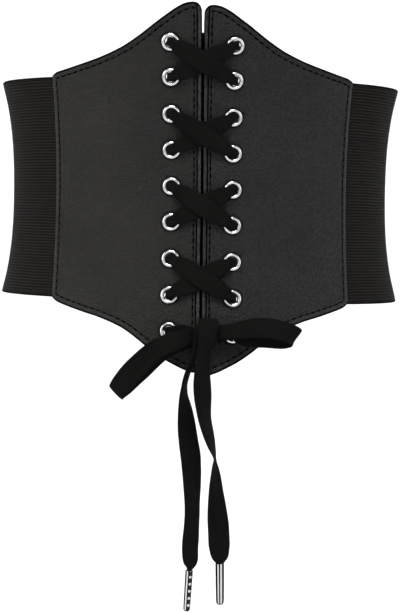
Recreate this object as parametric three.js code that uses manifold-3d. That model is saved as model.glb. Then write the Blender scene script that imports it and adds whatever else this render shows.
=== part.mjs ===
// Laced corset belt, in millimetres, +Z up, front towards -Y, left and right as seen
// from the front. The origin is the middle of the waist opening.
import * as THREE from 'three';
import Module from 'manifold-3d';

const wasm = await Module();
wasm.setup();

// ---------------------------------------------------------------- driving sizes
const WAIST_HALF_WIDTH = 117.7;   // inside of the panels, side to side / 2
const WAIST_HALF_DEPTH = 84.0;    // inside of the panels, front to back / 2
const PANEL_THICKNESS = 2.0;
const PANEL_SLIP = 0.85;          // left panel sits this much up, right panel down
const CENTRE_LEAN = 0.9;          // the opening line drifts left by this at 100 mm up
const ROLL_HEIGHT = 0.45;         // rolled centre edge stands proud by this
const ELASTIC_THICKNESS = 1.4;
const ELASTIC_RECESS = 0.5;       // elastic lies this far behind the panel's inside
const ELASTIC_TOP = 64.8;
const ELASTIC_BOTTOM = -66.2;
const ELASTIC_START_DEG = 40.6;   // end of the elastic behind each panel
const ELASTIC_TILT = 0.8;         // top edge: left side up, right side down
const ELASTIC_TILT_BOTTOM = 1.7;  // the same for the bottom edge
const ELASTIC_COLUMNS = 50;
const ELASTIC_ROWS = 10;
const EYELET_HOLE = 3.1;          // radii
const EYELET_BARREL = 3.6;
const EYELET_FLANGE = 5.2;
const PANEL_HOLE = 3.95;
const EYELET_SIDES = 12;
const LACE_WIDTH = 12.2;
const LACE_THICKNESS = 1.5;
const TAIL_WIDTH = 12.6;
const GAP = 0.3;                  // clearance between touching pieces

// How far the body shape widens above and below the waist.
const BODY_SHAPE = [
  // height, half width added, half depth added
  { z: -112, width: 16.4, depth: 12.2 },
  { z: -90, width: 12.4, depth: 8.9 },
  { z: -66, width: 7.5, depth: 5.2 },
  { z: -50, width: 3.8, depth: 2.95 },
  { z: -33, width: 1.35, depth: 1.3 },
  { z: -16, width: 0.25, depth: 0.3 },
  { z: 0, width: 0, depth: 0 },
  { z: 16, width: 0.25, depth: 0.3 },
  { z: 33, width: 1.35, depth: 1.3 },
  { z: 50, width: 3.8, depth: 2.95 },
  { z: 66, width: 7.5, depth: 5.2 },
  { z: 90, width: 12.4, depth: 8.9 },
  { z: 112, width: 16.4, depth: 12.2 },
];

// Panel outline seen from the front: distance from the centre line, top and bottom.
const PANEL_OUTLINE = [
  { x: 0.4, top: 102.0, bottom: -104.6 },
  { x: 0.9, top: 103.6, bottom: -106.2 },
  { x: 1.9, top: 105.0, bottom: -107.3 },
  { x: 3.4, top: 105.9, bottom: -107.7 },
  { x: 6, top: 106.1, bottom: -107.2 },
  { x: 10, top: 105.2, bottom: -105.7 },
  { x: 15, top: 102.6, bottom: -103.2 },
  { x: 20, top: 99.1, bottom: -100.5 },
  { x: 25, top: 95.5, bottom: -97.3 },
  { x: 30, top: 91.6, bottom: -93.6 },
  { x: 35, top: 87.8, bottom: -89.6 },
  { x: 40, top: 84.3, bottom: -85.8 },
  { x: 45, top: 81.2, bottom: -82.6 },
  { x: 50, top: 78.7, bottom: -80.2 },
  { x: 55, top: 76.5, bottom: -78.2 },
  { x: 60, top: 74.6, bottom: -76.4 },
  { x: 65, top: 72.95, bottom: -75.0 },
  { x: 70, top: 71.4, bottom: -73.5 },
  { x: 75, top: 69.9, bottom: -71.9 },
  { x: 80, top: 68.5, bottom: -70.2 },
  { x: 84, top: 67.3, bottom: -68.5 },
  { x: 86.4, top: 65.6, bottom: -66.4 },
];
const OUTLINE_SIDE = 86.4;

// Side edge of the panel: distance from the centre line at each height.
const PANEL_SIDE_EDGE = [
  { z: -112, x: 89.8 },
  { z: -66, x: 87.4 },
  { z: -35, x: 86.2 },
  { z: -6, x: 85.7 },
  { z: 15, x: 85.8 },
  { z: 40, x: 86.7 },
  { z: 66, x: 88.3 },
  { z: 112, x: 91.3 },
];

// Half of the opening between the panels at each height.
const CENTRE_OPENING = [
  { z: -112, half: 0.5 },
  { z: -90, half: 0.38 },
  { z: 0, half: 0.34 },
  { z: 30, half: 0.36 },
  { z: 55, half: 0.42 },
  { z: 75, half: 0.5 },
  { z: 86, half: 0.54 },
  { z: 95, half: 0.58 },
  { z: 101, half: 0.75 },
  { z: 107, half: 1.15 },
];

// Section across the rolled centre edge: distance from the edge, outer and inner skin.
// The left panel's inner layer runs on as a thin tongue under the right panel's edge.
const ROLLED_EDGE = [
  { d: 0, outer: 1.5, innerLeft: 0.0, innerRight: 1.15 },
  { d: 0.5, outer: 2.0 + 0.14, innerLeft: 0.0, innerRight: 1.15 },
  { d: 0.95, outer: 2.0 + 0.38, innerLeft: 0.0, innerRight: 1.1 },
  { d: 1.4, outer: 2.0 + ROLL_HEIGHT, innerLeft: 0.0, innerRight: 0.3 },
  { d: 2.1, outer: 2.0 + 0.3, innerLeft: 0.0, innerRight: 0.0 },
  { d: 2.65, outer: 1.45, innerLeft: 0.0, innerRight: 0.0 },
  { d: 3.2, outer: 2.0, innerLeft: 0.0, innerRight: 0.0 },
  { d: 200, outer: 2.0, innerLeft: 0.0, innerRight: 0.0 },
];
const TONGUE_REACH = 0.5;         // how far the tongue goes under the right panel's edge
const TONGUE = { outer: 0.8, inner: 0.05 };
const TONGUE_LENGTH = [
  // share of the centre edge's height, share of the full reach
  { f: 0, reach: 0.03 },
  { f: 0.03, reach: 1 },
  { f: 0.9, reach: 1 },
  { f: 0.925, reach: 0.03 },
  { f: 1, reach: 0.03 },
];
const PANEL_COLUMNS = [0, 0.5, 0.95, 1.4, 2.1, 2.65, 3.2, 6.5, 10.5, 15, 20, 26, 32, 38, 44, 50, 56,
  62, 68, 74, 79.5, 83.6, 86];
// Rows up the panel, as shares of its height there.
const PANEL_ROWS = [0, 0.03, 0.075, 0.15, 0.225, 0.3, 0.375, 0.45, 0.525, 0.6, 0.675, 0.75, 0.825, 0.9, 0.925, 0.96, 1];

// Eyelet rows from the top: height and distance from the centre line.
const EYELET_ROWS = [
  { z: 83.5, x: 18.6 },
  { z: 63.6, x: 18.2 },
  { z: 42.4, x: 17.9 },
  { z: 21.5, x: 17.7 },
  { z: 0.4, x: 17.7 },
  { z: -20.5, x: 17.65 },
  { z: -41.9, x: 17.8 },
  { z: -63.2, x: 18.2 },
  { z: -84.0, x: 18.3 },
];

// ---------------------------------------------------------------- tables
function between(table, key, at, column) {
  if (at <= table[0][key]) return table[0][column];
  const last = table.length - 1;
  if (at >= table[last][key]) return table[last][column];
  let i = 0;
  while (table[i + 1][key] < at) i += 1;
  const u = (at - table[i][key]) / (table[i + 1][key] - table[i][key]);
  return table[i][column] + (table[i + 1][column] - table[i][column]) * u;
}

function smooth(table, key, at, column) {
  if (at <= table[0][key]) return table[0][column];
  const last = table.length - 1;
  if (at >= table[last][key]) return table[last][column];
  let i = 0;
  while (table[i + 1][key] < at) i += 1;
  const slope = (k) => {
    const a = Math.max(0, k - 1);
    const b = Math.min(last, k + 1);
    return (table[b][column] - table[a][column]) / (table[b][key] - table[a][key]);
  };
  const h = table[i + 1][key] - table[i][key];
  const u = (at - table[i][key]) / h;
  const p0 = table[i][column];
  const p1 = table[i + 1][column];
  const m0 = slope(i) * h;
  const m1 = slope(i + 1) * h;
  const u2 = u * u;
  const u3 = u2 * u;
  return (2 * u3 - 3 * u2 + 1) * p0 + (u3 - 2 * u2 + u) * m0 + (-2 * u3 + 3 * u2) * p1 + (u3 - u2) * m1;
}

// ---------------------------------------------------------------- body surface
const halfWidth = (z) => WAIST_HALF_WIDTH + smooth(BODY_SHAPE, 'z', z, 'width');
const halfDepth = (z) => WAIST_HALF_DEPTH + smooth(BODY_SHAPE, 'z', z, 'depth');

// Frame on the body surface at an angle round the body (0 = front, + = right).
function bodyFrame(angle, z) {
  const a = halfWidth(z);
  const b = halfDepth(z);
  const da = (halfWidth(z + 0.5) - halfWidth(z - 0.5));
  const db = (halfDepth(z + 0.5) - halfDepth(z - 0.5));
  const s = Math.sin(angle);
  const c = Math.cos(angle);
  const across = new THREE.Vector3(a * c, b * s, 0).normalize();
  const up = new THREE.Vector3(da * s, -db * c, 1).normalize();
  const out = new THREE.Vector3().crossVectors(across, up).normalize();
  return { point: new THREE.Vector3(a * s, -b * c, z), across, up, out };
}

function onBody(angle, z, off) {
  const f = bodyFrame(angle, z);
  return f.point.clone().addScaledVector(f.out, off);
}

const angleAtX = (x, z) => Math.asin(x / halfWidth(z));
const frontPoint = (x, z, off) => onBody(angleAtX(x, z), z, off);
const centreX = (z) => -CENTRE_LEAN * Math.max(0, z) / 100;

// ---------------------------------------------------------------- mesh helpers
function geometryFrom(points, faces) {
  const g = new THREE.BufferGeometry();
  const flat = new Float32Array(points.length * 3);
  points.forEach((p, i) => { flat[3 * i] = p.x; flat[3 * i + 1] = p.y; flat[3 * i + 2] = p.z; });
  g.setAttribute('position', new THREE.BufferAttribute(flat, 3));
  g.setIndex(faces);
  g.computeVertexNormals();
  return g;
}

// Closed wall between an outer and an inner grid of points, [column][row].
function wall(outer, inner, flip) {
  const nu = outer.length;
  const nv = outer[0].length;
  const points = [];
  for (const grid of [outer, inner]) for (const column of grid) for (const p of column) points.push(p);
  const o = (i, j) => i * nv + j;
  const n = (i, j) => nu * nv + i * nv + j;
  const faces = [];
  const quad = (a, b, c, d) => {
    if (flip) faces.push(a, c, b, a, d, c);
    else faces.push(a, b, c, a, c, d);
  };
  for (let i = 0; i < nu - 1; i += 1) {
    for (let j = 0; j < nv - 1; j += 1) {
      quad(o(i, j), o(i + 1, j), o(i + 1, j + 1), o(i, j + 1));
      quad(n(i, j), n(i, j + 1), n(i + 1, j + 1), n(i + 1, j));
    }
    quad(o(i, 0), n(i, 0), n(i + 1, 0), o(i + 1, 0));
    quad(o(i, nv - 1), o(i + 1, nv - 1), n(i + 1, nv - 1), n(i, nv - 1));
  }
  for (let j = 0; j < nv - 1; j += 1) {
    quad(o(0, j), o(0, j + 1), n(0, j + 1), n(0, j));
    quad(o(nu - 1, j), n(nu - 1, j), n(nu - 1, j + 1), o(nu - 1, j + 1));
  }
  return geometryFrom(points, faces);
}

function toManifold(geometry) {
  const pos = geometry.getAttribute('position');
  const index = geometry.index ? Array.from(geometry.index.array) : [...Array(pos.count).keys()];
  const seen = new Map();
  const verts = [];
  const remap = [];
  for (let i = 0; i < pos.count; i += 1) {
    const key = [pos.getX(i), pos.getY(i), pos.getZ(i)].map((v) => Math.round(v * 1e4)).join(',');
    if (!seen.has(key)) {
      seen.set(key, verts.length / 3);
      verts.push(pos.getX(i), pos.getY(i), pos.getZ(i));
    }
    remap.push(seen.get(key));
  }
  const tris = [];
  for (let i = 0; i < index.length; i += 3) {
    const [a, b, c] = [remap[index[i]], remap[index[i + 1]], remap[index[i + 2]]];
    if (a !== b && b !== c && a !== c) tris.push(a, b, c);
  }
  return new wasm.Manifold(new wasm.Mesh({
    numProp: 3, vertProperties: new Float32Array(verts), triVerts: new Uint32Array(tris),
  }));
}

function fromManifold(solid) {
  const mesh = solid.getMesh();
  const g = new THREE.BufferGeometry();
  g.setAttribute('position', new THREE.BufferAttribute(new Float32Array(mesh.vertProperties), 3));
  g.setIndex(Array.from(mesh.triVerts));
  g.computeVertexNormals();
  return g;
}

// Surface turned from a closed outline [radius, height], standing on a frame.
function turned(outline, sides, frame) {
  const points = [];
  const faces = [];
  const n = outline.length;
  for (let k = 0; k < sides; k += 1) {
    const t = (2 * Math.PI * (k + 0.5)) / sides;
    for (const [r, h] of outline) {
      points.push(frame.point.clone()
        .addScaledVector(frame.across, r * Math.cos(t) * (frame.wide ?? 1))
        .addScaledVector(frame.up, r * Math.sin(t) * (frame.narrow ?? 1))
        .addScaledVector(frame.out, h));
    }
  }
  const turn = (frame.across.clone().cross(frame.up).dot(frame.out) > 0) ? 1 : -1;
  const push = (a, b, c) => { if (turn > 0) faces.push(a, b, c); else faces.push(a, c, b); };
  for (let k = 0; k < sides; k += 1) {
    const m = (k + 1) % sides;
    for (let i = 0; i < n; i += 1) {
      const j = (i + 1) % n;
      const a = k * n + i;
      const b = m * n + i;
      const c = m * n + j;
      const d = k * n + j;
      if (outline[i][0] === 0 && outline[j][0] === 0) continue;
      if (outline[i][0] === 0) push(a, c, d);
      else if (outline[j][0] === 0) push(a, b, d);
      else { push(a, b, c); push(a, c, d); }
    }
  }
  return geometryFrom(points, faces);
}

// Flat cord: rows of centre point, width direction, width and thickness.
const CORD_SECTION = [
  [1, -0.42], [1, 0.42], [0.74, 1], [-0.74, 1], [-1, 0.42], [-1, -0.42], [-0.74, -1], [0.74, -1],
];

function flatCord(rows) {
  const n = rows.length;
  const m = CORD_SECTION.length;
  const points = [];
  const faces = [];
  rows.forEach((row, i) => {
    const before = rows[Math.max(0, i - 1)].p;
    const after = rows[Math.min(n - 1, i + 1)].p;
    const along = after.clone().sub(before).normalize();
    const side = row.side.clone().addScaledVector(along, -row.side.dot(along)).normalize();
    const face = along.clone().cross(side);
    for (const [sx, sy] of CORD_SECTION) {
      points.push(row.p.clone()
        .addScaledVector(side, 0.5 * row.w * sx)
        .addScaledVector(face, 0.5 * row.t * sy));
    }
  });
  for (let i = 0; i < n - 1; i += 1) {
    for (let k = 0; k < m; k += 1) {
      const l = (k + 1) % m;
      faces.push(i * m + k, i * m + l, (i + 1) * m + l, i * m + k, (i + 1) * m + l, (i + 1) * m + k);
    }
  }
  for (let k = 1; k < m - 1; k += 1) {
    faces.push(0, k + 1, k);
    const e = (n - 1) * m;
    faces.push(e, e + k, e + k + 1);
  }
  return geometryFrom(points, faces);
}

// Fills in a smooth run of rows between the given ones.
function refine(rows, steps) {
  const curve = new THREE.CatmullRomCurve3(rows.map((r) => r.p), false, 'centripetal');
  const out = [];
  for (let i = 0; i < rows.length - 1; i += 1) {
    for (let s = 0; s < steps; s += 1) {
      const u = s / steps;
      out.push({
        p: curve.getPoint((i + u) / (rows.length - 1)),
        side: rows[i].side.clone().lerp(rows[i + 1].side, u).normalize(),
        w: rows[i].w + (rows[i + 1].w - rows[i].w) * u,
        t: rows[i].t + (rows[i + 1].t - rows[i].t) * u,
      });
    }
  }
  out.push(rows[rows.length - 1]);
  return out;
}

// ---------------------------------------------------------------- materials
const leather = new THREE.MeshStandardMaterial({ color: 0x242424, roughness: 0.55, metalness: 0 });
const elastic = new THREE.MeshStandardMaterial({ color: 0x1c1a18, roughness: 0.9, metalness: 0 });
const nickel = new THREE.MeshStandardMaterial({ color: 0xc9c9cc, roughness: 0.22, metalness: 1 });
const lace = new THREE.MeshStandardMaterial({ color: 0x0e0e0e, roughness: 0.92, metalness: 0 });

const group = new THREE.Group();
group.name = 'corset_belt';
function add(name, geometry, material) {
  const mesh = new THREE.Mesh(geometry, material);
  mesh.name = name;
  group.add(mesh);
}

// ---------------------------------------------------------------- panels
function eyeletFrame(side, row) {
  const z = row.z - side * PANEL_SLIP;
  const x = centreX(z) + side * row.x;
  return bodyFrame(angleAtX(x, z), z);
}

function panel(side) {
  const outer = [];
  const inner = [];
  for (const d of PANEL_COLUMNS) {
    const u = d / PANEL_COLUMNS[PANEL_COLUMNS.length - 1];
    const lookup = 0.4 + u * (OUTLINE_SIDE - 0.4);
    const top = smooth(PANEL_OUTLINE, 'x', lookup, 'top');
    const bottom = smooth(PANEL_OUTLINE, 'x', lookup, 'bottom');
    const section = {
      outer: between(ROLLED_EDGE, 'd', d, 'outer'),
      inner: between(ROLLED_EDGE, 'd', d, side < 0 ? 'innerLeft' : 'innerRight'),
    };
    const columnOut = [];
    const columnIn = [];
    for (const f of PANEL_ROWS) {
      const z = bottom + (top - bottom) * f;
      const open = smooth(CENTRE_OPENING, 'z', z, 'half');
      const edge = smooth(PANEL_SIDE_EDGE, 'z', z, 'x');
      const x = centreX(z) * (1 - u) + side * (open + u * (edge - open));
      const zz = z - side * PANEL_SLIP;
      const angle = angleAtX(x, zz);
      columnOut.push(onBody(angle, zz, section.outer));
      columnIn.push(onBody(angle, zz, section.inner));
    }
    outer.push(columnOut);
    inner.push(columnIn);
  }
  if (side < 0) {
    const top = smooth(PANEL_OUTLINE, 'x', 0.4, 'top');
    const bottom = smooth(PANEL_OUTLINE, 'x', 0.4, 'bottom');
    for (const share of [0.02, 1]) {
      const columnOut = [];
      const columnIn = [];
      for (const f of PANEL_ROWS) {
        const z = bottom + (top - bottom) * f;
        const open = smooth(CENTRE_OPENING, 'z', z, 'half');
        const reach = (2 * open + TONGUE_REACH) * between(TONGUE_LENGTH, 'f', f, 'reach');
        const x = centreX(z) - open + share * reach;
        columnOut.push(onBody(angleAtX(x, z + PANEL_SLIP), z + PANEL_SLIP, TONGUE.outer));
        columnIn.push(onBody(angleAtX(x, z + PANEL_SLIP), z + PANEL_SLIP, TONGUE.inner));
      }
      outer.unshift(columnOut);
      inner.unshift(columnIn);
    }
  }
  let solid = toManifold(wall(outer, inner, side < 0));
  for (const row of EYELET_ROWS) {
    const f = eyeletFrame(side, row);
    const hole = turned([[0, -6], [PANEL_HOLE, -6], [PANEL_HOLE, 8], [0, 8]], EYELET_SIDES, f);
    solid = solid.subtract(toManifold(hole));
  }
  return fromManifold(solid);
}
add('panel_left', panel(-1), leather);
add('panel_right', panel(1), leather);

// ---------------------------------------------------------------- elastic band
{
  const outer = [];
  const inner = [];
  const start = THREE.MathUtils.degToRad(ELASTIC_START_DEG);
  for (let i = 0; i <= ELASTIC_COLUMNS; i += 1) {
    const angle = start + ((2 * Math.PI - 2 * start) * i) / ELASTIC_COLUMNS;
    const columnOut = [];
    const columnIn = [];
    for (let j = 0; j <= ELASTIC_ROWS; j += 1) {
      const share = j / ELASTIC_ROWS;
      const tilt = ELASTIC_TILT_BOTTOM + (ELASTIC_TILT - ELASTIC_TILT_BOTTOM) * share;
      const z = ELASTIC_BOTTOM + (ELASTIC_TOP - ELASTIC_BOTTOM) * share - tilt * Math.sin(angle);
      columnOut.push(onBody(angle, z, -ELASTIC_RECESS));
      columnIn.push(onBody(angle, z, -ELASTIC_RECESS - ELASTIC_THICKNESS));
    }
    outer.push(columnOut);
    inner.push(columnIn);
  }
  add('elastic_band', wall(outer, inner, false), elastic);
}

// ---------------------------------------------------------------- eyelets
const EYELET_OUTLINE = [
  // radius, height above the inside of the panel
  [EYELET_HOLE, 2.75], [4.25, 3.4], [EYELET_FLANGE - 0.15, 3.05], [EYELET_FLANGE, PANEL_THICKNESS + GAP + 0.05],
  [EYELET_BARREL, PANEL_THICKNESS + GAP + 0.05], [EYELET_BARREL, -GAP - 0.05], [4.7, -GAP - 0.05], [4.6, -0.85],
  [EYELET_HOLE, -0.95],
].reverse();
for (const [side, word] of [[-1, 'left'], [1, 'right']]) {
  EYELET_ROWS.forEach((row, i) => {
    add(`eyelet_${word}_${i + 1}`, turned(EYELET_OUTLINE, EYELET_SIDES, eyeletFrame(side, row)), nickel);
  });
}

// ---------------------------------------------------------------- the lace in the eyelets
// One pass of the lace through an eyelet, from the front run to the back run:
// distance along the run, height above the inside of the panel, width, thickness.
const FRONT_PASS = [
  { d: 7.0, off: 4.9, w: 9.8, t: 1.6 },
  { d: 4.0, off: 5.1, w: 7.8, t: 1.8 },
  { d: 1.2, off: 3.8, w: 4.4, t: 2.2 },
  { d: 0.0, off: 1.2, w: 4.9, t: 3.8 },
];
const BACK_PASS = [
  { d: 1.0, off: -1.6, w: 4.0, t: 2.0 },
  { d: 3.0, off: -2.95, w: 6.4, t: 1.8 },
  { d: 8.0, off: -2.7, w: 10.4, t: 1.5 },
];
const TOP_RUN = { front: 5.75, back: -4.6 };
const UNDER_RUN = { front: 3.75, back: -2.45 };
const KNOT = { x: 2.6, y: -100.9, z: -85.2, halfX: 6.4, halfY: 4.6, halfZ: 8.6 };
const LACE_END = { x: 7.3, z: -85.0, y: -98.9 };

function eyeletPlace(side, index) {
  const row = EYELET_ROWS[index];
  const z = row.z - side * PANEL_SLIP;
  return { x: centreX(z) + side * row.x, z };
}

// A lace row at a front position (x, z), with the width direction given there.
function laceRow(x, z, off, sx, sz, w, t) {
  const f = bodyFrame(angleAtX(x, z), z);
  return {
    p: f.point.clone().addScaledVector(f.out, off),
    side: f.across.clone().multiplyScalar(sx).addScaledVector(f.up, sz),
    w, t,
  };
}

// Half of the lace from the bar behind row 1 down to the knot, starting on `side`.
function laceHalf(side, run) {
  const rows = [];
  let s = side;
  const upright = (dx, dz) => {
    const n = Math.hypot(dx, dz);
    return dx > 0 ? [-dz / n, dx / n] : [dz / n, -dx / n];
  };
  for (let i = 0; i < 9; i += 1) {
    const here = eyeletPlace(s, i);
    const goesIn = i % 2 === 1;                     // even rows: front to back
    const upTo = i === 0 ? { x: 0, z: here.z } : eyeletPlace(-s, i - 1);
    const next = i === 8 ? { x: KNOT.x + s * LACE_END.x, z: LACE_END.z } : eyeletPlace(-s, i + 1);
    const inbound = [upTo.x - here.x, upTo.z - here.z];
    const outbound = [next.x - here.x, next.z - here.z];
    const unit = ([x, z]) => { const n = Math.hypot(x, z); return [x / n, z / n]; };
    const [ix, iz] = unit(inbound);
    const [ox, oz] = unit(outbound);
    const [isx, isz] = upright(inbound[0], inbound[1]);
    const [osx, osz] = upright(outbound[0], outbound[1]);
    const first = goesIn ? FRONT_PASS : [...BACK_PASS].reverse();
    const second = goesIn ? BACK_PASS : [...FRONT_PASS].reverse();
    const middle = unit([isx + osx, isz + osz]);
    for (const r of first) {
      const k = r.d < 2 ? middle : [isx, isz];
      rows.push(laceRow(here.x + ix * r.d, here.z + iz * r.d, r.off, k[0], k[1], r.w, r.t));
    }
    for (const r of second) {
      if (i === 8 && r.d > 7) continue;
      const k = r.d < 2 ? middle : [osx, osz];
      rows.push(laceRow(here.x + ox * r.d, here.z + oz * r.d, r.off, k[0], k[1], r.w, r.t));
    }
    if (i < 8) {
      const off = goesIn ? run.back : run.front;
      rows.push(laceRow(here.x + outbound[0] * 0.5, here.z + outbound[1] * 0.5, off, osx, osz,
        LACE_WIDTH, LACE_THICKNESS));
    }
    s = -s;
  }
  const endSide = -s;
  rows.push({
    p: new THREE.Vector3(KNOT.x + endSide * (LACE_END.x + 2.0), LACE_END.y + 0.6, LACE_END.z + 0.4),
    side: new THREE.Vector3(0, 0, 1), w: 9.8, t: 1.5,
  });
  rows.push({
    p: new THREE.Vector3(KNOT.x + endSide * LACE_END.x, LACE_END.y, LACE_END.z),
    side: new THREE.Vector3(0, 0, 1), w: 9.0, t: 1.5,
  });
  return rows;
}
{
  const fromLeft = laceHalf(-1, TOP_RUN);
  const fromRight = laceHalf(1, UNDER_RUN);
  const bar = (eyeletPlace(-1, 0).z + eyeletPlace(1, 0).z) / 2;
  const middle = laceRow(centreX(bar), bar, -2.7, 0, 1, LACE_WIDTH, LACE_THICKNESS);
  const rows = [...fromLeft.reverse(), middle, ...fromRight];
  add('lace_crossed', flatCord(rows), lace);
}

// ---------------------------------------------------------------- knot
{
  const outline = [];
  for (const [r, x] of [[0, -1], [0.62, -1], [0.86, -0.72], [1, -0.3], [1, 0.3], [0.86, 0.72], [0.62, 1], [0, 1]]) {
    outline.push([r * KNOT.halfZ, x * KNOT.halfX]);
  }
  add('knot', turned(outline, 16, {
    point: new THREE.Vector3(KNOT.x, KNOT.y, KNOT.z),
    across: new THREE.Vector3(0, 1, 0), up: new THREE.Vector3(0, 0, 1), out: new THREE.Vector3(1, 0, 0),
    wide: KNOT.halfY / KNOT.halfZ,
  }), lace);
}

// ---------------------------------------------------------------- bow loops and tails
// Rows: centre point, width direction, width, thickness.
function cordFrom(table, steps) {
  return flatCord(refine(table.map((r) => ({
    p: new THREE.Vector3(r.x, r.y, r.z), side: new THREE.Vector3(r.sx, r.sy, r.sz).normalize(), w: r.w, t: r.t,
  })), steps));
}

const LOOP_LEFT = [
  { x: -4.6, y: -101.2, z: -87.6, sx: 0, sy: 0, sz: 1, w: 8.2, t: 1.5 },
  { x: -12, y: -102.2, z: -89.0, sx: 0, sy: 0, sz: 1, w: 10.6, t: 1.5 },
  { x: -21.4, y: -102.6, z: -93.2, sx: -0.4, sy: 0, sz: 0.9, w: 11.2, t: 1.5 },
  { x: -34.8, y: -103.4, z: -104.7, sx: -0.7, sy: 0, sz: 0.71, w: TAIL_WIDTH, t: 1.5 },
  { x: -44.0, y: -104.6, z: -113.6, sx: -0.7, sy: 0, sz: 0.71, w: 12.2, t: 1.5 },
  { x: -47.9, y: -107.2, z: -117.1, sx: -0.7, sy: 0, sz: 0.71, w: 11.0, t: 1.5 },
  { x: -48.0, y: -110.2, z: -117.2, sx: -0.7, sy: 0, sz: 0.71, w: 11.0, t: 1.5 },
  { x: -44.9, y: -112.8, z: -112.3, sx: -0.7, sy: 0, sz: 0.71, w: 12.2, t: 1.5 },
  { x: -37.1, y: -113.0, z: -102.7, sx: -0.7, sy: 0, sz: 0.71, w: TAIL_WIDTH, t: 1.5 },
  { x: -24.4, y: -110.6, z: -91.7, sx: -0.55, sy: 0, sz: 0.8, w: 11.6, t: 1.5 },
  { x: -12, y: -106.6, z: -86.6, sx: 0, sy: 0, sz: 1, w: 10.2, t: 1.5 },
  { x: -4.6, y: -103.4, z: -84.8, sx: 0, sy: 0, sz: 1, w: 8.0, t: 1.5 },
];
const LOOP_RIGHT = [
  { x: 9.5, y: -101.0, z: -82.8, sx: 0, sy: 0, sz: 1, w: 7.8, t: 1.5 },
  { x: 15.5, y: -101.6, z: -82.6, sx: 0, sy: 0, sz: 1, w: 8.2, t: 1.5 },
  { x: 20, y: -101.6, z: -83.2, sx: 0, sy: 0, sz: 1, w: 8.8, t: 1.5 },
  { x: 25.5, y: -101.2, z: -84.8, sx: 0, sy: 0.1, sz: 1, w: 12.2, t: 1.5 },
  { x: 38, y: -100.8, z: -85.2, sx: 0, sy: 0.1, sz: 1, w: TAIL_WIDTH, t: 1.5 },
  { x: 48, y: -100.8, z: -85.9, sx: 0.42, sy: 0.1, sz: 0.9, w: 12.0, t: 1.5 },
  { x: 54.4, y: -103.4, z: -85.0, sx: 0.62, sy: 0.12, sz: 0.77, w: 10.6, t: 1.5 },
  { x: 54.6, y: -106.6, z: -84.2, sx: 0.6, sy: 0.15, sz: 0.79, w: 10.6, t: 1.5 },
  { x: 49.6, y: -110.0, z: -81.9, sx: 0.34, sy: 0.33, sz: 0.88, w: 11.8, t: 1.5 },
  { x: 40, y: -111.2, z: -79.4, sx: 0, sy: 0.45, sz: 0.89, w: TAIL_WIDTH, t: 1.5 },
  { x: 29, y: -110.0, z: -79.4, sx: 0, sy: 0.45, sz: 0.89, w: 12.0, t: 1.5 },
  { x: 19, y: -106.8, z: -81.6, sx: 0, sy: 0.2, sz: 0.98, w: 9.2, t: 1.5 },
  { x: 13, y: -104.6, z: -82.2, sx: 0, sy: 0.1, sz: 1, w: 8.2, t: 1.5 },
  { x: 9.5, y: -103.7, z: -82.2, sx: 0, sy: 0, sz: 1, w: 7.8, t: 1.5 },
];
add('bow_loop_left', cordFrom(LOOP_LEFT, 2), lace);
add('bow_loop_right', cordFrom(LOOP_RIGHT, 2), lace);

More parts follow.
